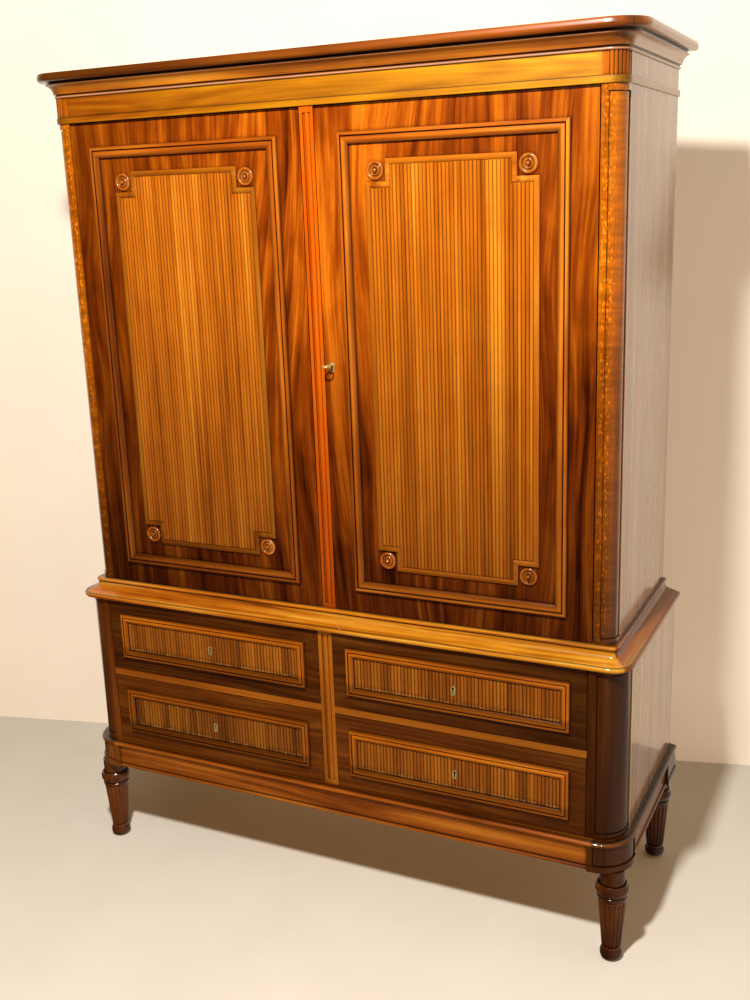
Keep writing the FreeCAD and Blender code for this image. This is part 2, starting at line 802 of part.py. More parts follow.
cove_top = f"({door_level} - waist_bead_height)"
bead_edge = f"({upper_half} + waist_bead_reach)"
nose_edge = f"({base_half} + waist_nose_reach)"
nose_bottom = f"({upper_level} - waist_drop)"
node("waist_moulding", surround("waist_moulding", upper_half, upper_front, "waist_bead_reach", upper_level, [
    (upper_half, upper_level),
    (base_half, upper_level),
    (base_half, nose_bottom),
    (f"{nose_edge} - waist_nose_height * 0.6", nose_bottom, 140),
    (f"{nose_edge} - waist_nose_height * 0.35", f"{nose_bottom} + waist_nose_height"),
    (f"{bead_edge} + waist_cove_reach", f"{cove_top} - waist_cove_height", -60),
    (bead_edge, cove_top),
    (bead_edge, f"{cove_top} + waist_bead_height * 0.1", 150),
    (bead_edge, door_level),
    (upper_half, door_level),
]))


# Upper case: sides, back, floor and top boards, shelves on cleats

upper_inside = f"({upper_half} - side_thickness)"
upper_side = board("upper_side", (upper_inside, upper_half), (upper_post_back, back),
                   (upper_level, cornice_level))
node("upper_sides", group("upper_sides", [upper_side, mirrored("upper_side_left", upper_side)]))
node("upper_back", board("upper_back", (f"-{upper_inside}", upper_inside), (back_panel, back),
                         (upper_level, cornice_level)))

shelves, cleats = [], []
shelf_spacing = "((door_opening_height + upper_top_rise) / 4)"
for number in (1, 2, 3):
    shelf_top = f"({door_level} + {number} * {shelf_spacing})"
    shelf_bottom = f"({shelf_top} - shelf_thickness)"
    shelf_front = f"({upper_front} + shelf_setback)"
    shelves.append(board(f"shelf_{number}", (f"-{upper_inside}", upper_inside), (shelf_front, back_panel),
                         (shelf_bottom, shelf_top)))
    for side in sides:
        cleat_x = span(side, f"{upper_inside} - cleat_width", upper_inside)
        cleats.append(board(f"{side}_cleat_{number}", cleat_x,
                            (shelf_front, back_panel), (f"{shelf_bottom} - cleat_height", shelf_bottom)))
node("shelves", group("shelves", shelves))
node("shelf_cleats", group("shelf_cleats", cleats))


# Pivot hinges: a leaf with a pin let into each end of a door, and a plate let into the case above and below

door_near = "(door_mullion_width / 2 + meeting_gap)"
door_far = f"({post_inside} - hinge_gap)"
door_bottom = f"({door_level} + door_clearance)"
door_top = f"({head_level} - door_clearance)"
pivot_x = f"({door_far} - pivot_inset)"
pivot_y = f"({upper_front} + pivot_inset)"
leaf_x = (f"({pivot_x} - pivot_leaf_length)", f"({pivot_x} + pivot_leaf_width / 2)")
leaf_y = (f"({pivot_y} - pivot_leaf_width / 2)", f"({pivot_y} + pivot_leaf_width / 2)")
LEAF_LEVELS = {
    "lower": (door_bottom, f"({door_bottom} + pivot_leaf_thickness)"),
    "upper": (f"({door_top} - pivot_leaf_thickness)", door_top),
}
PLATE_LEVELS = {
    "lower": (f"({door_level} - pivot_leaf_thickness)", door_level),
    "upper": (head_level, f"({head_level} + pivot_leaf_thickness)"),
}
pin_length = "(door_clearance + pivot_leaf_thickness)"
pin_start = {"lower": PLATE_LEVELS["lower"][0], "upper": door_top}


def pivot_space(side, end, levels):
    """The room that a leaf or a plate takes up."""
    return board(f"{side}_{end}_pivot_space", span(side, *leaf_x), leaf_y, levels[end])


def pivot_leaf(side, end):
    """A door's brass leaf with its pin."""
    plate = pivot_space(side, end, LEAF_LEVELS)
    pin = rod(f"{side}_{end}_pin", "pivot_pin_radius", pin_length, span(side, pivot_x, pivot_x)[0], pivot_y,
              pin_start[end])
    return fused(f"{side}_{end}_leaf", [plate, pin])


case_plates = []
for side in sides:
    for end, levels in PLATE_LEVELS.items():
        eye = rod(f"{side}_{end}_eye", "pivot_pin_radius + pivot_pin_clearance", "pivot_leaf_thickness",
                  span(side, pivot_x, pivot_x)[0], pivot_y, levels[0])
        case_plates.append(cut(f"{side}_{end}_plate", pivot_space(side, end, PLATE_LEVELS), [eye]))
node("case_pivots", group("case_pivots", case_plates))


# Floor, top and frieze of the upper case, mortised for the pivots and for the left door's bolts

bolt_near = f"({door_near} + door_bolt_from_edge - door_bolt_width / 2)"
bolt_far = f"({bolt_near} + door_bolt_width)"
bolt_back = f"({door_back} - bolt_clearance * 2)"
bolt_front = f"({bolt_back} - door_bolt_thickness)"


def door_bolt_mortise(end, levels):
    """The space in the case that one of the left door's bolts shoots into."""
    x = span("left", f"{bolt_near} - mortise_clearance", f"{bolt_far} + mortise_clearance")
    y = (f"{bolt_front} - mortise_clearance", f"{bolt_back} + mortise_clearance")
    return board(f"{end}_bolt_mortise", x, y, levels)


upper_floor = padded("upper_floor_blank", "XY_Plane", (f"{door_level} - upper_floor_thickness", door_level), [
    (f"-{post_inside}", upper_front),
    (post_inside, upper_front),
    (post_inside, upper_post_back),
    (upper_inside, upper_post_back),
    (upper_inside, back_panel),
    (f"-{upper_inside}", back_panel),
    (f"-{upper_inside}", upper_post_back),
    (f"-{post_inside}", upper_post_back),
])
floor_cuts = [pivot_space(side, "lower", PLATE_LEVELS) for side in sides]
floor_mortise = (f"{door_level} - door_bolt_throw - mortise_clearance", door_level)
floor_cuts.append(door_bolt_mortise("bottom", floor_mortise))
upper_floor = cut("upper_floor", upper_floor, floor_cuts)
upper_top_level = f"({head_level} + upper_top_rise)"
upper_top = board("upper_top", (f"-{upper_inside}", upper_inside), (upper_post_back, back_panel),
                  (upper_top_level, f"{upper_top_level} + upper_top_thickness"))
node("upper_boards", group("upper_boards", [upper_floor, upper_top]))

frieze_rail = board("frieze_rail", (f"-{post_inside}", post_inside), (upper_front, upper_post_back),
                    (head_level, cornice_level))
frieze_cuts = [pivot_space(side, "upper", PLATE_LEVELS) for side in sides]
head_mortise = (head_level, f"{head_level} + door_bolt_throw + mortise_clearance")
frieze_cuts.append(door_bolt_mortise("top", head_mortise))
frieze_rail = cut("frieze_rail_mortised", frieze_rail, frieze_cuts)
fillet_outer = f"({upper_half} + fillet_reach)"
fillet_edge = "fillet_reach * 0.4"
fillet = surround("frieze_fillet", upper_half, upper_front, f"({upper_radius} - corner_gap)", head_level, [
    (upper_half, head_level),
    (f"{fillet_outer} - {fillet_edge}", head_level, 90),
    (fillet_outer, f"{head_level} + {fillet_edge}"),
    (fillet_outer, f"{frieze_level} - {fillet_edge}", 90),
    (f"{fillet_outer} - {fillet_edge}", frieze_level),
    (upper_half, frieze_level),
])
node("frieze", group("frieze", [frieze_rail, fillet]))


# Frieze blocks: a plain strip and a quarter round of reeds over each upper corner post

core_radius = f"({upper_radius} - frieze_reed_radius / 2)"
frieze_block = doc.addObject("PartDesign::Body", "frieze_block")
block_levels = (frieze_level, cornice_level)
pad(frieze_block, "frieze_block_core", "XY_Plane", block_levels, [
    ("-upper_strip", f"-{upper_radius}"),
    ("0", f"-{upper_radius}"),
    ("0", f"-{core_radius}", 90),
    (core_radius, "0"),
    (core_radius, "side_groove_width"),
    ("-upper_strip", "side_groove_width"),
])
reed_plan = sketch_in(frieze_block, "frieze_reed_plan", "XY_Plane", frieze_level)
reed_spread = 72.0
first_reed = math.radians(-90 + (90 - reed_spread) / 2)
reed_centre = FreeCAD.Vector(math.cos(first_reed), math.sin(first_reed), 0) * value(core_radius)
reed_plan.addGeometry(Part.Circle(reed_centre, FreeCAD.Vector(0, 0, 1), value("frieze_reed_radius")), False)
for kind, text in (("DistanceX", f"{core_radius} * cos({math.degrees(first_reed)} deg)"),
                   ("DistanceY", f"{core_radius} * sin({math.degrees(first_reed)} deg)")):
    held = reed_plan.addConstraint(Sketcher.Constraint(kind, -1, 1, 0, 3, value(text)))
    reed_plan.setExpression(f"Constraints[{held}]", sized(text))
held = reed_plan.addConstraint(Sketcher.Constraint("Radius", 0, value("frieze_reed_radius")))
reed_plan.setExpression(f"Constraints[{held}]", sized("frieze_reed_radius"))
frieze_reed = frieze_block.newObject("PartDesign::Pad", "frieze_reed")
frieze_reed.Profile = reed_plan
bind(frieze_reed, Length="frieze_height")
frieze_reeds = frieze_block.newObject("PartDesign::PolarPattern", "frieze_reeds")
frieze_reeds.Originals = [frieze_reed]
frieze_reeds.Axis = (reed_plan, ["N_Axis"])
frieze_reeds.Angle = reed_spread
bind(frieze_reeds, Occurrences="frieze_reed_count")
frieze_block.Tip = frieze_reeds
place(frieze_block, f"{upper_half} - {upper_radius}", f"{upper_front} + {upper_radius}")
node("frieze_blocks", group("frieze_blocks", [frieze_block, mirrored("frieze_block_left", frieze_block)]))


# Cornice: bead, cove with a lip, and a rounded nose over a recess, with a dust board inside its frame

cornice_inner = f"({upper_half} - cornice_inset)"
cornice_outer = f"({upper_half} + cornice_reach)"
bead_back = f"({upper_half} + cornice_quirk)"
cove_start = f"({upper_half} + cornice_bead)"
cove_end = f"({cove_start} + cornice_cove_reach)"
recess_back = f"({cove_end} - cornice_recess_depth)"
bead_level = f"({cornice_level} + cornice_bead)"
cove_level = f"({bead_level} + cornice_quirk)"
lip_level = f"({cove_level} + cornice_cove_height)"
recess_level = f"({lip_level} + cornice_lip)"
nose_level = f"({recess_level} + cornice_recess_height)"
node("cornice", surround("cornice", upper_half, upper_front, upper_radius, cornice_level, [
    (cornice_inner, cornice_level),
    (bead_back, cornice_level, 150),
    (bead_back, bead_level),
    (bead_back, cove_level),
    (cove_start, cove_level, -75),
    (cove_end, lip_level),
    (cove_end, recess_level),
    (recess_back, recess_level),
    (recess_back, nose_level),
    (f"{cornice_outer} - cornice_nose_round", nose_level, 90),
    (cornice_outer, f"{nose_level} + cornice_nose_round", 30),
    (f"{cornice_outer} - cornice_nose_round / 3", top_level),
    (cornice_inner, top_level),
]))
dust_board_level = f"({top_level} - dust_board_thickness)"
dust_board = rounded_board("dust_board", cornice_inner, f"({upper_front} + cornice_inset)",
                           f"({upper_radius} - cornice_inset + corner_gap)", (dust_board_level, top_level))
cornice_back = board("cornice_back", (f"-{cornice_inner}", cornice_inner), (back_panel, back),
                     (cornice_level, dust_board_level))
node("cornice_top", group("cornice_top", [dust_board, cornice_back]))


# Mouldings, reeded panels and keyholes that the doors and the drawers share

def frame_moulding(name, x, z, face, width, height):
    """An applied moulding round a rectangle: an outer fillet, a quirk and a rounded inner band."""
    middle = f"(({x[0]} + {x[1]}) / 2)"
    path = free_sketch(name + "_path", "XZ", [
        (middle, z[0]), (x[1], z[0]), (x[1], z[1]), (x[0], z[1]), (x[0], z[0]), (middle, z[0]),
    ], closed=False, y=face)
    crest = f"({face} - {height})"
    section = free_sketch(name + "_section", "YZ", [
        (face, z[0]),
        (f"{face} - {height} * 0.7", z[0], -70),
        (f"{face} - {height} * 0.9", f"{z[0]} + {width} * 0.12"),
        (f"{face} - {height} * 0.9", f"{z[0]} + {width} * 0.3"),
        (f"{face} - {height} * 0.6", f"{z[0]} + {width} * 0.32"),
        (f"{face} - {height} * 0.6", f"{z[0]} + {width} * 0.4"),
        (f"{face} - {height} * 0.85", f"{z[0]} + {width} * 0.42", -35),
        (crest, f"{z[0]} + {width} * 0.6", -50),
        (f"{face} - {height} * 0.6", f"{z[0]} + {width}"),
        (face, f"{z[0]} + {width}"),
    ], x=middle)
    return moulding(name, path, section)


REED_CLEAR = 1.5  # a cut through the reeds starts this many times their height above their bed


def reed_tips(body, name, x, level, face, inward):
    """Slopes off the ends of the reeds at a level; inward is the sign of the way along the reeds."""
    bed = f"({face} - reed_backing)"
    clear = f"({bed} - reed_height * {REED_CLEAR})"
    body.Tip = pocket(body, name, "YZ_Plane", x, [
        (f"{bed} - reed_quirk", level),
        (clear, f"{level} {inward} reed_tip * {REED_CLEAR}"),
        (clear, level),
    ])


def reeding(name, x, z, face, count):
    """A panel of upright reeds on a thin backing."""
    body = doc.addObject("PartDesign::Body", name)
    bed = f"({face} - reed_backing)"
    pitch = f"(({x[1]} - ({x[0]})) / {count})"
    pad(body, name + "_backing", "XY_Plane", z, rectangle(x, (bed, face)))
    reed = pad(body, name + "_reed", "XY_Plane", z, [
        (f"{x[0]} + reed_quirk / 2", bed),
        (f"{x[0]} + reed_quirk / 2", f"{bed} - reed_height / 5", 118),
        (f"{x[0]} + {pitch} - reed_quirk / 2", f"{bed} - reed_height / 5"),
        (f"{x[0]} + {pitch} - reed_quirk / 2", bed),
        (f"{x[0]} + {pitch} / 2", f"{bed} + reed_backing / 2"),
    ])
    doc.recompute()
    reeds = body.newObject("PartDesign::LinearPattern", name + "_reeds")
    reeds.Originals = [reed]
    reeds.Direction = (reed.Profile[0], ["H_Axis"])
    bind(reeds, Length=f"{pitch} * ({count} - 1)", Occurrences=count)
    body.Tip = reeds
    reed_tips(body, name + "_feet", x, z[0], face, "+")
    reed_tips(body, name + "_heads", x, z[1], face, "-")
    return body


lining_radius = "(key_shank_radius + key_clearance + keyhole_lining_wall)"


def keyhole(name, x, y, z, radius, half_slot, drop):
    """A keyhole's outline as a solid: a round eye with a slot below it."""
    eye = rod(name + "_eye", radius, f"{y[1]} - ({y[0]})", x, y[0], z, along="Y")
    slot = board(name + "_slot", (f"{x} - {half_slot}", f"{x} + {half_slot}"), y, (f"{z} - {drop}", z))
    return fused(name, [eye, slot])


def keyhole_bore(name, x, y, z):
    """The space that a keyhole's brass lining sits in."""
    return keyhole(name, x, y, z, lining_radius, "(keyhole_slot_width / 2 + keyhole_lining_wall)",
                   "(keyhole_slot_drop + keyhole_lining_wall)")


def keyhole_lining(name, x, face, lock_face, z):
    """The brass lining of a keyhole, from just proud of the surface to just short of the lock."""
    y = (f"{face} - keyhole_lining_proud", f"{lock_face} - keyhole_lining_gap")
    opening = keyhole(name + "_opening", x, y, z, "(key_shank_radius + key_clearance)",
                      "(keyhole_slot_width / 2)", "keyhole_slot_drop")
    return cut(name, keyhole_bore(name + "_outside", x, y, z), [opening])


# Doors: veneered slabs, each with its moulding, its reeded panel in a bead frame and its four paterae

key_x = f"({door_near} + key_from_edge)"
key_z = f"({door_level} + door_opening_height / 2 + key_rise)"
lock_front = f"({door_back} - lock_thickness)"
lock_levels = (f"({key_z} - lock_height / 2)", f"({key_z} + lock_height / 2)")
door_bolt_groove_z = {
    "top": (f"({door_top} - door_bolt_length - door_bolt_setback - door_bolt_throw)", door_top),
    "bottom": (door_bottom, f"({door_bottom} + door_bolt_length + door_bolt_setback + door_bolt_throw)"),
}
moulding_z = (f"({door_bottom} + door_margin_bottom)", f"({door_top} - door_margin_top)")
panel_z = (f"({moulding_z[0]} + door_moulding_width + door_panel_end_margin)",
           f"({moulding_z[1]} - door_moulding_width - door_panel_end_margin)")


def patera(name, x, z):
    """A turned disc of rings round a button, standing on the face of a door."""
    body = doc.addObject("PartDesign::Body", name)
    turning = sketch_in(body, name + "_turning", "XY_Plane", "0")
    draw(turning, [
        ("0", "0"),
        ("0", "-patera_height", 70),
        ("patera_radius * 0.22", "-patera_height * 0.65"),
        ("patera_radius * 0.25", "-patera_height * 0.2"),
        ("patera_radius * 0.31", "-patera_height * 0.25", 140),
        ("patera_radius * 0.53", "-patera_height * 0.25"),
        ("patera_radius * 0.6", "-patera_height * 0.12"),
        ("patera_radius * 0.66", "-patera_height * 0.25", 150),
        ("patera_radius", "-patera_height * 0.25"),
        ("patera_radius", "0"),
    ])
    turned = body.newObject("PartDesign::Revolution", name + "_turned")
    turned.Profile = turning
    turned.ReferenceAxis = (turning, ["V_Axis"])
    turned.Angle = 360
    place(body, x, upper_front, z)
    return body


for side in sides:
    door_x = span(side, door_near, door_far)
    slab = board(f"{side}_slab", door_x, (upper_front, door_back), (door_bottom, door_top))
    slab_cuts = [pivot_space(side, end, LEAF_LEVELS) for end in LEAF_LEVELS]
    fittings = [pivot_leaf(side, end) for end in LEAF_LEVELS]
    if side == "right":
        mortise_x = (door_near, f"{door_near} + lock_width")
        slab_cuts.append(board("lock_mortise", mortise_x, (lock_front, door_back), lock_levels))
        slab_cuts.append(keyhole_bore("door_keyhole", key_x, (upper_front, lock_front), key_z))
    else:
        for end, levels in door_bolt_groove_z.items():
            groove_x = span(side, f"{bolt_near} - bolt_clearance", f"{bolt_far} + bolt_clearance")
            groove_y = (f"{bolt_front} - bolt_clearance", door_back)
            slab_cuts.append(board(f"{end}_bolt_groove", groove_x, groove_y, levels))
            keeper_x = span(side, f"({bolt_near} + {bolt_far} - keeper_width) / 2",
                            f"({bolt_near} + {bolt_far} + keeper_width) / 2")
            keeper_z = {
                "top": (f"{door_top} - keeper_edge - keeper_height", f"{door_top} - keeper_edge"),
                "bottom": (f"{door_bottom} + keeper_edge", f"{door_bottom} + keeper_edge + keeper_height"),
            }
            fittings.append(board(f"{end}_keeper", keeper_x, (door_back, f"{door_back} + keeper_thickness"),
                                  keeper_z[end]))
    node(f"{side}_door", cut(f"{side}_door", slab, slab_cuts))
    node(f"{side}_door_fittings", group(f"{side}_door_fittings", fittings))

    moulding_x = span(side, f"({door_near} + door_margin_side)", f"({door_far} - door_margin_side)")
    node(f"{side}_door_moulding", frame_moulding(f"{side}_door_moulding", moulding_x, moulding_z, upper_front,
                                                 "door_moulding_width", "door_moulding_height"))

    inset = "(door_moulding_width + door_panel_margin)"
    panel_x = (f"({moulding_x[0]} + {inset})", f"({moulding_x[1]} - {inset})")
    steps_x = (f"({panel_x[0]} + panel_notch)", f"({panel_x[1]} - panel_notch)")
    steps_z = (f"({panel_z[0]} + panel_notch)", f"({panel_z[1]} - panel_notch)")
    middle_x = f"(({panel_x[0]} + {panel_x[1]}) / 2)"
    bead_path = free_sketch(f"{side}_bead_path", "XZ", [
        (middle_x, panel_z[0]),
        (steps_x[1], panel_z[0]), (steps_x[1], steps_z[0]),
        (panel_x[1], steps_z[0]), (panel_x[1], steps_z[1]),
        (steps_x[1], steps_z[1]), (steps_x[1], panel_z[1]),
        (steps_x[0], panel_z[1]), (steps_x[0], steps_z[1]),
        (panel_x[0], steps_z[1]), (panel_x[0], steps_z[0]),
        (steps_x[0], steps_z[0]), (steps_x[0], panel_z[0]),
        (middle_x, panel_z[0]),
    ], closed=False, y=upper_front)
    bead_section = free_sketch(f"{side}_bead_section", "YZ", [
        (upper_front, panel_z[0]),
        (f"{upper_front} - panel_bead_height / 2", panel_z[0], -100),
        (f"{upper_front} - panel_bead_height / 2", f"{panel_z[0]} + panel_bead_width"),
        (upper_front, f"{panel_z[0]} + panel_bead_width"),
    ], x=middle_x)
    bead_frame = moulding(f"{side}_bead_frame", bead_path, bead_section)

    reed_x = (f"({panel_x[0]} + panel_bead_width)", f"({panel_x[1]} - panel_bead_width)")
    reed_z = (f"({panel_z[0]} + panel_bead_width)", f"({panel_z[1]} - panel_bead_width)")
    reeds = reeding(f"{side}_door_reeds", reed_x, reed_z, upper_front, "door_reed_count")
    proud = (f"{upper_front} - door_moulding_height", upper_front)
    for across in (0, 1):
        for along in (0, 1):
            sign = "+-"[across], "+-"[along]
            notch_x = sorted((reed_x[across], f"{reed_x[across]} {sign[0]} panel_notch"), key=value)
            notch_z = sorted((reed_z[along], f"{reed_z[along]} {sign[1]} panel_notch"), key=value)
            corner = f"{side}_reed_notch_{across}{along}"
            reeds.Tip = pocket(reeds, corner, "XZ_Plane", proud, rectangle(notch_x, notch_z))
            notch_end = f"{reed_z[along]} {sign[1]} panel_notch"
            reed_tips(reeds, corner + "_tips", notch_x, notch_end, upper_front, sign[1])
    node(f"{side}_door_panel", group(f"{side}_door_panel", [bead_frame, reeds]))

    paterae = []
    for across in (0, 1):
        for along in (0, 1):
            spot_x = f"({panel_x[across]} + {steps_x[across]}) / 2"
            spot_z = f"({panel_z[along]} + {steps_z[along]}) / 2"
            paterae.append(patera(f"{side}_patera_{across}{along}", spot_x, spot_z))
    node(f"{side}_door_paterae", group(f"{side}_door_paterae", paterae))


# Door lock: a flat case let into the back of the right door, its bolt, its keyhole lining and the key

case_x = (door_near, f"({door_near} + lock_width)")
inside_x = f"({case_x[1]} - lock_wall)"
cavity_y = (f"({lock_front} + lock_wall)", f"({door_back} - lock_wall)")
bolt_level = f"({key_z} + lock_bolt_rise)"
lock_bolt_y = (f"({door_back} - lock_thickness / 2 - lock_bolt_thickness / 2)",
               f"({door_back} - lock_thickness / 2 + lock_bolt_thickness / 2)")
bit_half = "(key_bit_radius + bolt_clearance * 3)"
lock_case = board("lock_case", case_x, (lock_front, door_back), lock_levels)
bit_room = board("bit_room", (f"{case_x[0]} + lock_wall", inside_x), cavity_y,
                 (f"{key_z} - {bit_half}", f"{key_z} + {bit_half}"))
bolt_room = board("bolt_room", (case_x[0], inside_x),
                  (f"{lock_bolt_y[0]} - bolt_clearance", f"{lock_bolt_y[1]} + bolt_clearance"),
                  (f"{bolt_level} - bolt_clearance", f"{bolt_level} + lock_bolt_height + bolt_clearance"))
shank_hole = rod("shank_hole", "key_shank_radius + key_clearance", "lock_wall", key_x, lock_front, key_z,
                 along="Y")
lock_case = cut("lock_case_hollowed", lock_case, [bit_room, bolt_room, shank_hole])
door_lining = keyhole_lining("door_keyhole_lining", key_x, upper_front, lock_front, key_z)
node("door_lock", group("door_lock", [lock_case, door_lining]))

bolt_x = (f"({case_x[0]} + lock_bolt_setback)", f"({inside_x} - lock_bolt_throw)")
node("door_lock_bolt", board("door_lock_bolt", bolt_x, lock_bolt_y,
                             (bolt_level, f"{bolt_level} + lock_bolt_height")))
strike_x = ("door_mullion_width / 2 - lock_bolt_throw", "door_mullion_width / 2")
strike = board("strike_mortise", strike_x,
               (f"{lock_bolt_y[0]} - mortise_clearance", f"{lock_bolt_y[1]} + mortise_clearance"),
               (f"{bolt_level} - mortise_clearance", f"{bolt_level} + lock_bolt_height + mortise_clearance"))
node("door_mullion", cut("door_mullion", door_mullion, [strike]))

shank_end = f"({cavity_y[1]} - bolt_clearance)"
shank_start = f"({upper_front} - key_shank_reach)"
shank = rod("key_shank", "key_shank_radius", f"{shank_end} - {shank_start}", key_x, shank_start, key_z,
            along="Y")
collar = rod("key_collar", "key_collar_radius", "key_collar_length", key_x, shank_start, key_z, along="Y")
bit = board("key_bit", (f"{key_x} - key_bit_thickness / 2", f"{key_x} + key_bit_thickness / 2"),
            (f"{shank_end} - key_bit_length", shank_end), (f"{key_z} - key_bit_radius", key_z))
bow = doc.addObject("Part::Torus", "key_bow")
bind(bow, Radius1="key_bow_radius", Radius2="key_wire_radius")
place(bow, key_x, f"{shank_start} - key_bow_radius", key_z)
node("door_key", fused("door_key", [shank, collar, bit, bow]))


# Left door bolts: flat bars in grooves in the door's back, each with a knob

BOLT_LEVELS = {
    "top": (f"({door_top} - door_bolt_setback - door_bolt_length)", f"({door_top} - door_bolt_setback)"),
    "bottom": (f"({door_bottom} + door_bolt_setback)",
               f"({door_bottom} + door_bolt_setback + door_bolt_length)"),
}
KNOB_LEVELS = {
    "top": f"({door_top} - door_bolt_knob_drop)",
    "bottom": f"({door_bottom} + door_bolt_knob_drop)",
}
for end, knob_z in KNOB_LEVELS.items():
    bar_x = span("left", bolt_near, bolt_far)
    bar = board(f"{end}_bolt_bar", bar_x, (bolt_front, bolt_back), BOLT_LEVELS[end])
    reach = f"{door_back} + door_bolt_knob_reach - {bolt_front}"
    knob_x = f"-({bolt_near} + {bolt_far}) / 2"
    knob = rod(f"{end}_bolt_knob", "door_bolt_knob_radius", reach, knob_x, bolt_front, knob_z, along="Y")
    node(f"left_door_{end}_bolt", fused(f"left_door_{end}_bolt", [bar, knob]))


# Drawers: a front with its moulding, reeds and lock, and a box behind it

DRAWER_LEVELS = {
    "lower": (base_level, rail_level),
    "upper": (upper_drawer_level, base_top_level),
}
for side in sides:
    for row, levels in DRAWER_LEVELS.items():
        name = f"{row}_{side}_drawer"
        near, far = f"({drawer_near} + drawer_gap)", f"({drawer_far} - drawer_gap)"
        front_x = span(side, near, far)
        front_z = (f"({levels[0]} + drawer_gap)", f"({levels[1]} - drawer_gap)")
        middle_x = span(side, drawer_centre, drawer_centre)[0]
        hole_z = f"(({front_z[0]} + {front_z[1]}) / 2 + drawer_key_rise)"

        lock_x = (f"({middle_x} - drawer_lock_width / 2)", f"({middle_x} + drawer_lock_width / 2)")
        lock_y = (f"({drawer_front_back} - drawer_lock_thickness)", drawer_front_back)
        lock_z = (f"({hole_z} - drawer_lock_drop)", front_z[1])
        slab = board(name + "_slab", front_x, (base_front, drawer_front_back), front_z)
        front_cuts = [board(name + "_lock_mortise", lock_x, lock_y, lock_z),
                      keyhole_bore(name + "_bore", middle_x, (base_front, lock_y[0]), hole_z)]
        node(name + "_front", cut(name + "_front", slab, front_cuts))

        outer_x = span(side, f"({near} + drawer_side_gap)", f"({far} - drawer_side_gap)")
        inner_x = (f"({outer_x[0]} + drawer_side_thickness)", f"({outer_x[1]} - drawer_side_thickness)")
        box_back = f"({back_panel} - drawer_back_gap)"
        box_z = (f"({levels[0]} + drawer_run_gap)", f"({levels[1]} - drawer_side_drop)")
        back_y = (f"({box_back} - drawer_side_thickness)", box_back)
        bottom_z = (f"({box_z[0]} + drawer_bottom_rise)",
                    f"({box_z[0]} + drawer_bottom_rise + drawer_bottom_thickness)")
        depth = (drawer_front_back, box_back)
        node(name + "_box", group(name + "_box", [
            board(name + "_side_a", (outer_x[0], inner_x[0]), depth, box_z),
            board(name + "_side_b", (inner_x[1], outer_x[1]), depth, box_z),
            board(name + "_back", inner_x, back_y, (bottom_z[1], box_z[1])),
            board(name + "_bottom", inner_x, depth, bottom_z),
        ]))

        trim_x = (f"({front_x[0]} + drawer_margin)", f"({front_x[1]} - drawer_margin)")
        trim_z = (f"({front_z[0]} + drawer_margin)", f"({front_z[1]} - drawer_margin)")
        frame = frame_moulding(name + "_moulding", trim_x, trim_z, base_front, "drawer_moulding_width",
                               "drawer_moulding_height")
        reed_x = (f"({trim_x[0]} + drawer_moulding_width)", f"({trim_x[1]} - drawer_moulding_width)")
        reed_z = (f"({trim_z[0]} + drawer_moulding_width)", f"({trim_z[1]} - drawer_moulding_width)")
        reeds = reeding(name + "_reeds", reed_x, reed_z, base_front, "drawer_reed_count")
        reed_face = f"({base_front} - reed_backing - reed_height)"
        bore = keyhole_bore(name + "_reed_bore", middle_x, (f"{reed_face} - reed_height", base_front), hole_z)
        node(name + "_trim", group(name + "_trim", [frame, cut(name + "_reeds_bored", reeds, [bore])]))

        bolt_x = (f"({middle_x} - drawer_bolt_width / 2)", f"({middle_x} + drawer_bolt_width / 2)")
        bolt_y = (drawer_bolt_front, drawer_bolt_back)
        bolt_top = f"({front_z[1]} - drawer_bolt_setback)"
        bolt_z = (f"({bolt_top} - drawer_bolt_length)", bolt_top)
        room = board(name + "_bolt_room",
                     (f"{bolt_x[0]} - bolt_clearance", f"{bolt_x[1]} + bolt_clearance"),
                     (f"{bolt_y[0]} - bolt_clearance", f"{bolt_y[1]} + bolt_clearance"),
                     (f"{bolt_z[0]} - bolt_clearance", front_z[1]))
        lock = cut(name + "_lock_case", board(name + "_lock_block", lock_x, lock_y, lock_z), [room])
        lining = keyhole_lining(name + "_lining", middle_x, reed_face, lock_y[0], hole_z)
        node(name + "_lock", group(name + "_lock", [lock, lining]))
        node(name + "_bolt", board(name + "_bolt", bolt_x, bolt_y, bolt_z))


# Every object has to be sound before anything is written

doc.recompute()
for thing in doc.Objects:
    if "Invalid" in thing.State or "Error" in thing.State:
        raise RuntimeError(f"{thing.Name} did not build: {thing.State}")
for piece in nodes:
    if piece.Shape.isNull() or not piece.Shape.isValid() or not piece.Shape.Solids:
        raise RuntimeError(f"{piece.Label} is not a sound solid")

os.makedirs("parts", exist_ok=True)
for piece in nodes:
    piece.Shape.exportStep(f"parts/{piece.Label}.step")
print(len(nodes), "sub-parts written")
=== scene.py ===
import math
import bmesh
import bpy
from mathutils import Matrix, Vector


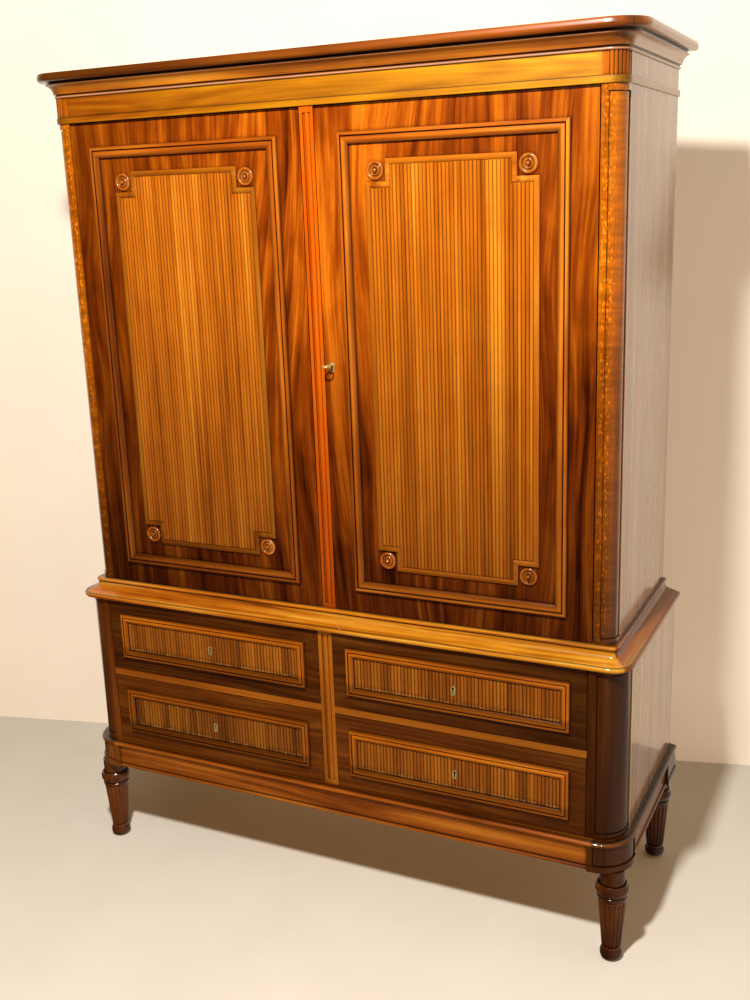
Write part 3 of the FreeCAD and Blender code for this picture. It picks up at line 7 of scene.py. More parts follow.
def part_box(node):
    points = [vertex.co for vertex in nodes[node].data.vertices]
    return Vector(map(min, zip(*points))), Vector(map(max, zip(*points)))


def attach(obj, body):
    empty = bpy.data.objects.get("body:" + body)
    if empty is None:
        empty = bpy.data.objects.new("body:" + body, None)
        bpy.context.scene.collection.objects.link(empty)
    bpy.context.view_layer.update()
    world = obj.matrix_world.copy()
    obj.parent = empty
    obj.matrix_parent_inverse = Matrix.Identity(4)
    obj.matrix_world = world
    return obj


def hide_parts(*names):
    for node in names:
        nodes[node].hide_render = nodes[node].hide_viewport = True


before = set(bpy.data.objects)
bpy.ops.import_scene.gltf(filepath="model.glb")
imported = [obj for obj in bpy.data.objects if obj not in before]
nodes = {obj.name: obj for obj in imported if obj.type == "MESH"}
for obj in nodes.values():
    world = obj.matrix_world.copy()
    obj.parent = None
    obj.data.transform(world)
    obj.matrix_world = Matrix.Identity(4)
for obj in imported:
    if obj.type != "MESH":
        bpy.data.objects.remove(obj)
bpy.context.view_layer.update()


# Legs
# Four legs turned in dark mahogany, each with a collar, a bead and a tapered fluted shaft on a bulb foot.
# A tenon on top of each goes up into the plinth block over it. French polished to a deep gloss.

def paint(red, green, blue):
    """A colour as it looks on screen, from 0 to 255, in the linear values that a shader takes."""
    linear = []
    for level in (red / 255, green / 255, blue / 255):
        linear.append(level / 12.92 if level <= 0.04045 else ((level + 0.055) / 1.055) ** 2.4)
    return (*linear, 1.0)


class Finish:
    """A material that is put together node by node."""

    def __init__(self, name):
        self.material = bpy.data.materials.new(name)
        self.material.use_nodes = True
        self.tree = self.material.node_tree
        self.shader = self.tree.nodes["Principled BSDF"]
        self.place = self.node("ShaderNodeTexCoord").outputs["Object"]
        self.axes = self.node("ShaderNodeSeparateXYZ", {0: self.place}).outputs

    def node(self, kind, inputs=(), **settings):
        """Adds a node; an input is a value or another node's output."""
        made = self.tree.nodes.new(kind)
        for name, setting in settings.items():
            setattr(made, name, setting)
        for key, given in dict(inputs).items():
            if isinstance(given, bpy.types.NodeSocket):
                self.tree.links.new(given, made.inputs[key])
            else:
                made.inputs[key].default_value = given
        return made

    def maths(self, operation, first, second=0.0):
        """The result of a sum on one or two values."""
        return self.node("ShaderNodeMath", {0: first, 1: second}, operation=operation).outputs[0]

    def total(self, *parts):
        """A sum of values, each with its weight."""
        made = 0.0
        for value, weight in parts:
            made = self.maths("ADD", self.maths("MULTIPLY", value, weight), made)
        return made

    def ramp(self, factor, *stops):
        """A colour ramp through stops of a place and a colour."""
        made = self.node("ShaderNodeValToRGB", {"Fac": factor})
        elements = made.color_ramp.elements
        while len(elements) < len(stops):
            elements.new(0.5)
        for element, (place, colour) in zip(elements, stops):
            element.position = place
            element.color = colour
        return made.outputs["Color"]

    def mix(self, factor, first, second, blend="MIX"):
        """Two colours mixed by a factor."""
        inputs = {0: factor, 6: first, 7: second}
        return self.node("ShaderNodeMix", inputs, data_type="RGBA", blend_type=blend).outputs[2]

    def scaled(self, colour, factor):
        """A colour made lighter or darker by a factor."""
        return self.node("ShaderNodeVectorMath", {0: colour, 3: factor}, operation="SCALE").outputs[0]

    def span(self, value, low, high, to_low, to_high):
        """A value taken from one range into another and held inside it."""
        inputs = {0: value, 1: low, 2: high, 3: to_low, 4: to_high}
        return self.node("ShaderNodeMapRange", inputs).outputs[0]

    def noise(self, vector, across, along, detail=3.0, distortion=0.0):
        """Noise drawn out along the grain; across and along count its waves in a metre."""
        scale = {0: vector, 1: (across, across, along)}
        stretched = self.node("ShaderNodeVectorMath", scale, operation="MULTIPLY").outputs[0]
        inputs = {"Vector": stretched, "Scale": 1.0, "Detail": detail, "Distortion": distortion}
        return self.node("ShaderNodeTexNoise", inputs).outputs["Fac"]

    def link(self, socket, to):
        """Links an output to the shader."""
        self.tree.links.new(socket, self.shader.inputs[to])


SHIFT_ALONG = 3.1  # how much further a shift moves the pattern along the grain than across it


def from_middle(finish, ring):
    """How far across and how far up or down a place is from the middle of a frame."""
    across = finish.maths("ABSOLUTE", finish.maths("SUBTRACT", finish.axes[0], ring[1]))
    upright = finish.maths("ABSOLUTE", finish.maths("SUBTRACT", finish.axes[2], ring[2]))
    return across, upright


def grain_along(finish, run, shift):
    """Coordinates whose third axis follows the grain of a stick or board.

    run is X, Y or Z for straight wood. A frame is ("frame", centre x, centre z, half width, half height),
    mitred at its corners. A surround is ("surround", half width, front) and turns down both sides of
    the case. shift moves the pattern on, so that no two pieces look cut from the same spot.
    """
    axes = finish.axes
    orders = {"X": (2, 1, 0), "Y": (0, 2, 1), "Z": (0, 1, 2)}

    def ordered(name):
        picked = {index: axes[axis] for index, axis in enumerate(orders[name])}
        picked[0] = finish.maths("ADD", picked[0], shift)
        picked[2] = finish.maths("ADD", picked[2], shift * SHIFT_ALONG)
        return finish.node("ShaderNodeCombineXYZ", picked).outputs[0]

    if isinstance(run, str):
        return ordered(run)
    if run[0] == "frame":
        apart_x, apart_z = from_middle(finish, run)
        beyond_x = finish.maths("SUBTRACT", apart_x, run[3])
        upright = finish.maths("GREATER_THAN", beyond_x, finish.maths("SUBTRACT", apart_z, run[4]))
        first, second = ordered("X"), ordered("Z")
    else:
        beyond_x = finish.maths("SUBTRACT", finish.maths("ABSOLUTE", axes[0]), run[1])
        upright = finish.maths("GREATER_THAN", beyond_x, finish.maths("SUBTRACT", run[2], axes[1]))
        first, second = ordered("X"), ordered("Y")
    return finish.node("ShaderNodeMix", {0: upright, 4: first, 5: second}, data_type="VECTOR").outputs[1]


class Wood:
    """The grain of one stick or sheet of wood.

    tones are its dark, middle and light colours. figure counts the broad streaks in a metre across and
    along the grain. fine is the share that goes from those to narrow ribbons. wave is how far in metres
    the grain wanders, ripple the depth of cross-grain curl, rings and mottle the shares of growth rings
    and of clouds in the figure, and contrast how far it goes to the dark and light tones.
    """

    # Waves in a metre across and along the grain
    WANDER, RIBBONS, CLOUDS, STREAKS = (2.6, 1.3), (46.0, 1.8), (16.0, 7.0), (170.0, 4.0)
    FIBRES, GROWTH, CURL, PORES, SLOW = (380.0, 8.0), (9.0, 0.7), (9.0, 70.0), (1400.0, 42.0), (9.0, 4.0)
    # Shares of the figure, from its broad streaks to its fibres
    BROAD_SHARE, RIBBON_SHARE, STREAK_SHARE, FIBRE_SHARE = 0.56, 0.22, 0.15, 0.07
    RING_TURNS = 130.0
    RING_RANGE, CURL_RANGE, PORE_RANGE = (0.2, 0.8), (0.35, 0.65), (0.62, 0.72)
    SPREAD, PORE_SHARE = 0.19, 0.4

    def __init__(self, finish, run, tones, figure=(12.0, 1.0), contrast=1.0, shift=0.0, wave=0.02,
                 ripple=0.0, rings=0.0, mottle=0.1, fine=0.0):
        straight = grain_along(finish, run, shift)
        wander = finish.noise(straight, *self.WANDER, detail=1.0)
        wander = finish.maths("MULTIPLY", finish.maths("SUBTRACT", wander, 0.5), 2 * wave)
        aside = finish.node("ShaderNodeCombineXYZ", {0: wander}).outputs[0]
        grain = finish.node("ShaderNodeVectorMath", {0: straight, 1: aside}, operation="ADD").outputs[0]
        broad = finish.noise(grain, *figure, detail=4.0, distortion=0.9)
        ribbon = finish.noise(grain, *self.RIBBONS, detail=4.0, distortion=0.3)
        cloud = finish.noise(grain, *self.CLOUDS, detail=2.0, distortion=0.6)
        streak = finish.noise(grain, *self.STREAKS, detail=2.0)
        self.fibre = finish.noise(grain, *self.FIBRES, detail=3.0)
        growth = finish.noise(grain, *self.GROWTH, detail=1.0)
        growth = finish.maths("SINE", finish.maths("MULTIPLY", growth, self.RING_TURNS))
        growth = finish.span(growth, -1.0, 1.0, *self.RING_RANGE)
        lines = 1.0 - rings - mottle
        parts = [(broad, (self.BROAD_SHARE - fine) * lines), (ribbon, (self.RIBBON_SHARE + fine) * lines),
                 (streak, self.STREAK_SHARE * lines), (self.fibre, self.FIBRE_SHARE * lines),
                 (cloud, mottle), (growth, rings)]
        spread = self.SPREAD / contrast
        value = finish.span(finish.total(*parts), 0.5 - spread, 0.5 + spread, 0.0, 1.0)
        colour = finish.ramp(value, *zip((0.0, 0.5, 1.0), tones))
        if ripple:
            curl = finish.noise(grain, *self.CURL, detail=2.0, distortion=0.8)
            colour = finish.scaled(colour, finish.span(curl, *self.CURL_RANGE, 1.0 - ripple, 1.0 + ripple))
        pore = finish.noise(grain, *self.PORES, detail=1.0)
        self.pores = finish.span(pore, *self.PORE_RANGE, 0.0, 1.0)
        self.colour = finish.mix(finish.maths("MULTIPLY", self.pores, self.PORE_SHARE), colour, tones[0])
        self.slow = finish.noise(grain, *self.SLOW, detail=1.0)


POLISH_SHARE = 0.84  # how much of the wood's colour comes through the aged polish
# The crevices are darkened by old wax and by painted shade.
CREVICE = (0.4, 0.92)  # how open a place is when it is full of old wax, and when it is clean
FIBRE_RANGE, DULLER, GLOSSIER = (0.3, 0.7), 0.08, 0.05
FIBRE_HEIGHT = 0.25
PORE_BUMP = {"Strength": 0.22, "Distance": 0.0003}
SWAY_BUMP = {"Strength": 0.3, "Distance": 0.0015}
DIMPLES = (110.0, 55.0)
POLISH_SHINE = 0.15


def polish(finish, wood, colour, gloss=0.26, coat=0.3, wax_and_shade=0.7, reach=0.006, pebble=0.0, haze=0.08,
           alone=False):
    """French polish over a wood: its colour, old wax and painted shade darkening the crevices, filled pores
    and a clear coat.

    pebble is the depth in metres of the small dimples of a thick coat, and haze the roughness of the coat.
    The wax and painted shade also gather where another piece is close by, unless the piece is taken alone.
    """
    # Ambient occlusion darkens the colour in crevices and near other pieces: old wax, and painted shade.
    corners = finish.node("ShaderNodeAmbientOcclusion", {"Distance": reach}, samples=4, only_local=alone)
    openness = corners.outputs["AO"]
    shade = finish.span(openness, *CREVICE, (1.0 - wax_and_shade) * POLISH_SHARE, POLISH_SHARE)
    finish.link(finish.scaled(colour, shade), "Base Color")
    finish.link(finish.span(wood.fibre, *FIBRE_RANGE, gloss - GLOSSIER, gloss + DULLER), "Roughness")
    height = finish.maths("SUBTRACT", finish.maths("MULTIPLY", wood.fibre, FIBRE_HEIGHT), wood.pores)
    bump = finish.node("ShaderNodeBump", {**PORE_BUMP, "Height": height})
    finish.link(bump.outputs[0], "Normal")
    sway = finish.node("ShaderNodeBump", {**SWAY_BUMP, "Height": wood.slow}).outputs[0]
    if pebble:
        dimples = finish.noise(finish.place, *DIMPLES, detail=2.0)
        inputs = {"Strength": 0.6, "Distance": pebble, "Height": dimples, "Normal": sway}
        sway = finish.node("ShaderNodeBump", inputs).outputs[0]
    finish.link(sway, "Coat Normal")
    finish.shader.inputs["Coat Weight"].default_value = coat
    finish.shader.inputs["Coat Roughness"].default_value = haze
    finish.shader.inputs["Specular IOR Level"].default_value = POLISH_SHINE
    return finish.material


def mahogany(name, run, tones, tone=None, gloss=0.26, coat=0.3, wax_and_shade=0.7, reach=0.006, pebble=0.0,
             haze=0.08, alone=False, **figure):
    """Polished mahogany; tone is a function that gives the colour a last change."""
    finish = Finish(name)
    wood = Wood(finish, run, tones, **figure)
    colour = tone(finish, wood.colour) if tone else wood.colour
    return polish(finish, wood, colour, gloss, coat, wax_and_shade, reach, pebble, haze, alone)


def dress(material, *names):
    """Gives a material to CAD nodes."""
    for name in names:
        nodes[name].data.materials.clear()
        nodes[name].data.materials.append(material)


LEG_TONES = (paint(50, 20, 3), paint(104, 50, 12), paint(148, 82, 28))
# The feet, the shafts and the collars: their lowest and highest place, and the share of light on each
LEG_BANDS = ((0.0, 0.0285, 0.5), (0.0285, 0.155, 1.2), (0.155, 0.231, 0.6))
NEAR_LEFT, NEAR_RIGHT = -0.5, 0.5


def shade_left_to_right(at_left, at_right):
    """A painted light and shade that changes from the left of the press to its right, where light falls
    unevenly on it.
    """
    def tone(finish, colour):
        # Painted light and shade: the colour is scaled from the left of the press to its right.
        return finish.scaled(colour, finish.span(finish.axes[0], NEAR_LEFT, NEAR_RIGHT, at_left, at_right))
    return tone


def shaded_left(finish, colour, left_shade):
    """Darkens and reddens a long piece towards its left end, a painted shade."""
    share = finish.span(finish.axes[0], NEAR_LEFT, NEAR_RIGHT, 1.0, 0.0)
    return finish.mix(share, colour, left_shade, blend="MULTIPLY")


def band(finish, low, high):
    """1 between two heights, and 0 above and below them."""
    above = finish.maths("GREATER_THAN", finish.axes[2], low)
    return finish.maths("MULTIPLY", above, finish.maths("LESS_THAN", finish.axes[2], high))


def lined(finish, colour, low, high, share):
    """Changes a band between two heights: old wax darkens a quirk, and rubbing lightens a crest."""
    return finish.scaled(colour, finish.span(band(finish, low, high), 0.0, 1.0, 1.0, share))


def leg_light_and_shade(finish, colour):
    """Paints the fluted shafts lighter than the feet under them and the collars over them, and the legs
    lighter towards the left: painted light and shade.
    """
    for level in LEG_BANDS:
        colour = lined(finish, colour, *level)
    return shade_left_to_right(at_left=1.28, at_right=0.95)(finish, colour)


dress(mahogany("leg_mahogany", "Z", LEG_TONES, leg_light_and_shade, gloss=0.2, coat=0.8, wax_and_shade=0.92, reach=0.008),
      "legs")


# Plinth
# Corner blocks over the legs, rails tenoned between them, and a moulding with a round nose along the top.
# All of it is solid mahogany; the blocks are stained as dark as the legs.

BLOCK_TONES = (paint(46, 20, 3), paint(88, 45, 11), paint(124, 68, 20))
PLINTH_TONES = (paint(78, 32, 4), paint(160, 80, 14), paint(212, 126, 34))
PLINTH_RING = ("surround", 0.728, -0.265)
# Past these places the moulding is darkened over the blocks and down the sides: a painted shade.
BLOCK_FROM, BLOCK_BLEND, BLOCK_SHARE = 0.645, 0.006, 0.34
# Lines of painted shade with old wax, and a painted highlight on a crest: the lowest and highest place of
# each, and the share of light on it
RAIL_LINES = ((0.285, 0.293, 0.4), (0.2385, 0.2415, 0.35))
PLINTH_LINES = ((0.3008, 0.303, 0.3), (0.2955, 0.2992, 1.4))
# Painted shade: the blocks and base posts are lighter at the left and darker at the right.
shaded_right = shade_left_to_right(at_left=2.1, at_right=0.85)


def shaded_rail(finish, colour):
    """Lines of painted shade with old wax along the top of a plinth rail, under the moulding, and over its
    bead.
    """
    for line in RAIL_LINES:
        colour = lined(finish, colour, *line)
    return colour


def darker_corners(finish, colour):
    """Paints lines of shade with old wax and a highlight crest on the moulding, and darkens it with painted
    shade over the blocks and along the sides.
    """
    for line in PLINTH_LINES:
        colour = lined(finish, colour, *line)
    beyond = finish.maths("SUBTRACT", finish.maths("ABSOLUTE", finish.axes[0]), BLOCK_FROM)
    return finish.scaled(colour, finish.span(beyond, 0.0, BLOCK_BLEND, 1.0, BLOCK_SHARE))


dress(mahogany("block_mahogany", "Z", BLOCK_TONES, shaded_right, shift=0.4, gloss=0.2, coat=0.5),
      "plinth_blocks")
dress(mahogany("plinth_rail_mahogany", PLINTH_RING, PLINTH_TONES, shaded_rail, figure=(24.0, 1.4),
               contrast=1.3, shift=0.7, reach=0.01, wax_and_shade=0.8),
      "plinth_rails")
dress(mahogany("plinth_moulding_mahogany", PLINTH_RING, PLINTH_TONES, darker_corners, figure=(26.0, 1.4),
               contrast=1.2, shift=1.3, coat=0.6),
      "plinth_moulding")


# Base case
# Veneered sides, rounded corner posts with a sunk column, and a mullion and rails between the drawers.
# The posts are brown at the left and painted nearly black at the right, a painted shade.

POST_TONES = (paint(34, 12, 1), paint(78, 36, 6), paint(116, 60, 14))
# The side veneer is paler than the front woods, partly a painted reflection of the pale wall that the sides
# face at a glancing angle.
SIDE_TONES = (paint(104, 54, 22), paint(186, 126, 78), paint(232, 180, 126))
STRIP_TONES = (paint(110, 52, 4), paint(174, 92, 12), paint(216, 130, 30))
dress(mahogany("base_post_mahogany", "Z", POST_TONES, shaded_right, figure=(14.0, 1.0), gloss=0.18, coat=0.5,
               shift=2.1),
      "base_posts")
dress(mahogany("side_veneer", "Z", SIDE_TONES, figure=(22.0, 0.4), contrast=1.1, gloss=0.2, coat=0.6,
               shift=0.2, wave=0.03, fine=0.15),
      "base_sides", "upper_sides")
dress(mahogany("base_mullion_mahogany", "Z", STRIP_TONES, figure=(18.0, 1.0), shift=3.3), "base_mullion")
# The drawer rails are painted darker towards the right, a painted shade.
dress(mahogany("drawer_rail_mahogany", "X", STRIP_TONES, shade_left_to_right(at_left=1.05, at_right=0.72),
               figure=(18.0, 1.0), shift=4.4),
      "drawer_rails")


# Inside boards
# Plain boards of a paler wood, sawn, planed and left without polish: floors, tops, partition, shelves,
# cleats and runners. The backs and the dust board over the cornice are planks laid edge to edge; nails
# hold the backs.

PALE_TONES = (paint(120, 82, 44), paint(160, 116, 66), paint(188, 146, 92))


def plain_boards(name, run, shift, tone=None, tones=PALE_TONES):
    """Planed wood with growth rings and no polish."""
    return mahogany(name, run, tones, tone, gloss=0.55, coat=0.0, wax_and_shade=0.5, figure=(9.0, 0.5), shift=shift,
                    contrast=0.85, rings=0.35, alone=True)


long_boards = plain_boards("inside_boards", "X", 5.2)
deep_boards = plain_boards("inside_runners", "Y", 7.7)
dress(long_boards, "base_boards", "upper_boards", "shelves")
dress(plain_boards("inside_partition", "Z", 6.1), "base_partition")
dress(deep_boards, "drawer_runners", "shelf_cleats")


def new_piece(name, shape, material, body):
    """Makes an object of a bmesh, which rides on a body and takes its finish from a slot."""
    bmesh.ops.recalc_face_normals(shape, faces=shape.faces)
    mesh = bpy.data.meshes.new(name)
    shape.to_mesh(mesh)
    shape.free()
    mesh.materials.append(material)
    made = bpy.data.objects.new(name, mesh)
    bpy.context.scene.collection.objects.link(made)
    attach(made, body)
    return made


def bevelled_box(shape, low, high, bevel):
    """Adds a board with eased edges between two corners."""
    made = bmesh.ops.create_cube(shape, size=1.0)["verts"]
    size = Vector(high) - Vector(low)
    for vertex in made:
        vertex.co = Vector(low) + Vector((vertex.co[i] + 0.5) * size[i] for i in range(3))
    edges = {edge for vertex in made for edge in vertex.link_edges}
    bmesh.ops.bevel(shape, geom=list(edges), offset=bevel, segments=2, profile=0.6, affect="EDGES")


PLANK_GAP = 0.0012
PLANK_EASE = 0.0025
PLANK_SHADES = (0.8, 1.08)
BACK_PLANKS, DUST_PLANKS = 8, 3
NAIL_RADIUS, NAIL_HEIGHT, NAIL_EDGE = 0.0032, 0.0006, 0.014
NAIL_PLACES = (0.25, 0.75)  # shares of a plank's width
NAIL_ROWS = (("base_back", 3), ("upper_back", 5))
STUD_SIDES, STUD_CROWN = 14, 0.7
STUD_TURNS = [math.tau * step / STUD_SIDES for step in range(STUD_SIDES)]


def planks(node, count, across, run, shift):
    """Stands for a CAD board with a row of planks; across is the axis along which they follow each other."""
    low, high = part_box(node)
    width = (high[across] - low[across]) / count

    def plank_tone(finish, colour):
        number = finish.maths("SUBTRACT", finish.axes[across], low[across])
        number = finish.maths("FLOOR", finish.maths("DIVIDE", number, width))
        chance = finish.node("ShaderNodeTexWhiteNoise", {"W": number}, noise_dimensions="1D")
        return finish.scaled(colour, finish.span(chance.outputs["Value"], 0.0, 1.0, *PLANK_SHADES))

    shape = bmesh.new()
    for index in range(count):
        first, last = Vector(low), Vector(high)
        first[across] = low[across] + index * width + PLANK_GAP / 2
        last[across] = low[across] + (index + 1) * width - PLANK_GAP / 2
        bevelled_box(shape, first, last, PLANK_EASE)
    wood = plain_boards(node + "_wood", run, shift, plank_tone)
    made = new_piece(node + "_planks", shape, wood, "case")
    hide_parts(node)


planks("base_back", BACK_PLANKS, across=0, run="Z", shift=6.6)
planks("upper_back", BACK_PLANKS, across=0, run="Z", shift=8.8)
planks("cornice_top", DUST_PLANKS, across=1, run="X", shift=9.9)


def close_between(shape, low, high):
    """Closes a solid between two rings of as many points."""
    for index in range(len(low)):
        after = (index + 1) % len(low)
        shape.faces.new((low[index], low[after], high[after], high[index]))
    shape.faces.new(high)
    shape.faces.new(list(reversed(low)))


def stud(shape, centre, way, radius, height):
    """Adds a round domed head that stands on a face; way points out of the face."""
    lean = Vector(way).to_track_quat("Z", "Y").to_matrix().to_4x4()
    place = Matrix.Translation(centre) @ lean
    crown = STUD_CROWN * radius
    rim = [place @ Vector((radius * math.cos(turn), radius * math.sin(turn), 0)) for turn in STUD_TURNS]
    brow = [place @ Vector((crown * math.cos(turn), crown * math.sin(turn), height)) for turn in STUD_TURNS]
    close_between(shape, [shape.verts.new(spot) for spot in rim], [shape.verts.new(spot) for spot in brow])


PATCHES, SCRATCHES = (90.0, 90.0), (900.0, 120.0)
PATCH_RANGE, SCRATCH_RANGE = (0.35, 0.65), (0.3, 0.7)
DIRT_REACH, DIRT_RANGE, DIRT_SHARE = 0.006, (0.3, 0.75), 0.03
SMOOTHER, ROUGHER = 0.1, 0.12
SCRATCH_BUMP = {"Strength": 0.2, "Distance": 0.0002}


def metal(name, dark, light, rough, bare=1.0):
    """Handled metal, dull in patches and dirty in its holes; bare is its share without tarnish."""
    finish = Finish(name)
    patches = finish.noise(finish.place, *PATCHES, detail=4.0, distortion=0.4)
    scratches = finish.noise(finish.place, *SCRATCHES, detail=2.0)
    corners = finish.node("ShaderNodeAmbientOcclusion", {"Distance": DIRT_REACH}, samples=4, only_local=True)
    dirt = finish.span(corners.outputs["AO"], *DIRT_RANGE, DIRT_SHARE, 1.0)
    colour = finish.ramp(patches, *zip(PATCH_RANGE, (dark, light)))
    finish.link(finish.scaled(colour, dirt), "Base Color")
    finish.link(finish.span(scratches, *SCRATCH_RANGE, rough - SMOOTHER, rough + ROUGHER), "Roughness")
    bump = finish.node("ShaderNodeBump", {**SCRATCH_BUMP, "Height": scratches})
    finish.link(bump.outputs[0], "Normal")
    finish.shader.inputs["Metallic"].default_value = bare
    return finish.material


iron = metal("nail_iron", paint(52, 44, 38), paint(92, 84, 76), 0.5)
nails = bmesh.new()
for node, levels in NAIL_ROWS:
    low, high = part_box(node)
    plank = (high.x - low.x) / BACK_PLANKS
    for column in range(2 * BACK_PLANKS):
        x = low.x + plank * (column // 2 + NAIL_PLACES[column % 2])
        for level in range(levels):
            z = low.z + NAIL_EDGE + (high.z - low.z - 2 * NAIL_EDGE) * level / (levels - 1)
            stud(nails, (x, high.y, z), (0, 1, 0), NAIL_RADIUS, NAIL_HEIGHT)
new_piece("back_nails", nails, iron, "case")


# Waist moulding
# A wide golden mahogany moulding of bead, cove, slope and round nose, mitred at the corners and fixed to
# the base's top. The upper case stands inside it.

WAIST_TONES = (paint(134, 62, 6), paint(232, 149, 28), paint(255, 218, 88))
# Painted shade: the waist darker and redder to the left, and darker down the sides.
WAIST_LEFT_SHADE, WAIST_SIDE_SHADE = (0.84, 0.58, 0.55, 1.0), (0.42, 0.22, 0.16, 1.0)
CASE_RING = ("surround", 0.68, -0.217)
# Quirk lines of painted shade: the lowest and highest place of each, and the share of light on it.
WAIST_QUIRKS = ((0.7375, 0.7405, 0.1), (0.714, 0.7162, 0.4))
MITRE_BLEND = 0.004


def past_mitre(finish):
    """How far in metres a place on a surround lies past the mitre at its corner, down the case's side."""
    beyond = finish.maths("SUBTRACT", finish.maths("ABSOLUTE", finish.axes[0]), CASE_RING[1])
    return finish.maths("SUBTRACT", beyond, finish.maths("SUBTRACT", CASE_RING[2], finish.axes[1]))


def shaded_waist(finish, colour):
    """Lines of painted shade under the waist's bead and over its nose, and painted shade towards the left
    end and down the sides.
    """
    for quirk in WAIST_QUIRKS:
        colour = lined(finish, colour, *quirk)
    colour = shaded_left(finish, colour, WAIST_LEFT_SHADE)
    side = finish.span(past_mitre(finish), -MITRE_BLEND, MITRE_BLEND, 0.0, 1.0)
    return finish.mix(side, colour, WAIST_SIDE_SHADE, blend="MULTIPLY")


dress(mahogany("waist_mahogany", CASE_RING, WAIST_TONES, shaded_waist, figure=(40.0, 1.2), contrast=1.7,
               shift=0.9, gloss=0.3, coat=0.6, wax_and_shade=0.85, reach=0.012, fine=0.2),
      "waist_moulding")


# Upper case
# Rounded corner posts with a sunk golden column of rippled wood, and the fixed mullion that both doors
# close against, in a plainer and redder wood.

UPPER_POST_TONES = (paint(104, 44, 0), paint(184, 94, 8), paint(226, 134, 26))
MULLION_TONES = (paint(160, 56, 1), paint(220, 94, 6), paint(246, 122, 14))
LOWER_LEVEL, UPPER_LEVEL = 0.75, 1.5
LANE_START, LANE_END = (0.636, 0.641), (0.656, 0.666)
# Painted glints: bright flecks that stand for the lamp's sparkle on the rippled polish of the posts.
GLINTS, GLINT_RANGE, GLINT_GAIN = (260.0, 120.0), (0.56, 0.66), 1.6


def shade_below(share):
    """A painted shade that darkens the wood towards the bottom of the upper case, down to a share of it."""
    def tone(finish, colour):
        return finish.scaled(colour, finish.span(finish.axes[2], LOWER_LEVEL, UPPER_LEVEL, share, 1.0))
    return tone


def glints_and_foot_shade(finish, colour):
    """Darkens a post towards its foot with painted shade, and paints bright glints up its inner half for the
    lamp's sparkle on rippled polish.
    """
    apart = finish.maths("ABSOLUTE", finish.axes[0])
    inside, outside = finish.span(apart, *LANE_END, 1.0, 0.0), finish.span(apart, *LANE_START, 0.0, 1.0)
    lane = finish.maths("MULTIPLY", outside, inside)
    glints = finish.noise(finish.place, *GLINTS, detail=2.0)
    glints = finish.span(glints, *GLINT_RANGE, 0.0, GLINT_GAIN)
    glints = finish.maths("ADD", finish.maths("MULTIPLY", lane, glints), 1.0)
    return finish.scaled(shade_below(share=0.25)(finish, colour), glints)


dress(mahogany("upper_post_mahogany", "Z", UPPER_POST_TONES, glints_and_foot_shade, figure=(16.0, 0.9), ripple=0.2,
               shift=1.7, gloss=0.22, coat=1.0, wax_and_shade=0.5, pebble=0.001),
      "upper_posts")
dress(mahogany("frieze_block_mahogany", "Z", UPPER_POST_TONES, figure=(16.0, 0.9), shift=1.9, wax_and_shade=0.85),
      "frieze_blocks")
dress(mahogany("door_mullion_mahogany", "Z", MULLION_TONES, shade_below(share=0.75), figure=(18.0, 0.7),
               shift=2.6, contrast=0.8),
      "door_mullion")


# Frieze and cornice
# A plain golden frieze of flat-sawn wood with a fillet under it, then a cornice of bead, cove and a round
# nose. The nose is a browner stick over a deep recess. Both are painted paler round the sides, like the
# veneer, as a painted reflection, and darker at their mitres and towards the left with painted shade.

FRIEZE_TONES = (paint(136, 74, 0), paint(208, 136, 4), paint(250, 192, 12))
# Painted shade: the frieze darker and redder to the left, and a dark line over its fillet.
FRIEZE_LEFT_SHADE = (0.56, 0.35, 0.5, 1.0)
FILLET_LINE = (1.8868, 1.8892, 0.4)
CORNICE_TONES = (paint(108, 50, 6), paint(178, 98, 18), paint(220, 138, 36))
# Painted shade at the mitres, and a painted reflection that pales the mouldings down the sides.
MITRE_REACH, MITRE_SHARE = 0.06, 0.38
PALE_FROM, PALE_SHARE = 0.02, 0.75
NOSE_LEVEL = 1.9665
NOSE_BROWN = paint(196, 176, 160)
# Painted highlights: pale lines along the bead and the fillet under the nose.
HIGHLIGHT_LINES = ((1.9325, 1.9352, 0.42), (1.9598, 1.9622, 0.3))
HIGHLIGHT_TONE = paint(236, 190, 160)


def paler_sides(finish, colour):
    """Darkens a moulding at its mitres with painted shade, and takes it towards the side veneer's colour
    past them, a painted reflection.
    """
    past = past_mitre(finish)
    corner = finish.span(finish.maths("ABSOLUTE", past), 0.0, MITRE_REACH, MITRE_SHARE, 1.0)
    pale = finish.span(past, PALE_FROM, MITRE_REACH, 0.0, PALE_SHARE)
    return finish.mix(pale, finish.scaled(colour, corner), SIDE_TONES[1])


def golden_right(finish, colour):
    """The frieze, painted browner towards the left with painted shade, with a line of painted shade over its
    fillet.
    """
    return paler_sides(finish, lined(finish, shaded_left(finish, colour, FRIEZE_LEFT_SHADE), *FILLET_LINE))


def brown_nose(finish, colour):
    """Browns the cornice's upper stick, darker to the left with painted shade, and paints pale highlight
    lines along the bead and the fillet under it.
    """
    upper = finish.maths("GREATER_THAN", finish.axes[2], NOSE_LEVEL)
    nose = finish.mix(1.0, colour, NOSE_BROWN, blend="MULTIPLY")
    nose = shade_left_to_right(at_left=0.4, at_right=1.35)(finish, nose)
    colour = paler_sides(finish, finish.mix(upper, colour, nose))
    for low, high, share in HIGHLIGHT_LINES:
        colour = finish.mix(finish.maths("MULTIPLY", band(finish, low, high), share), colour, HIGHLIGHT_TONE)
    return colour


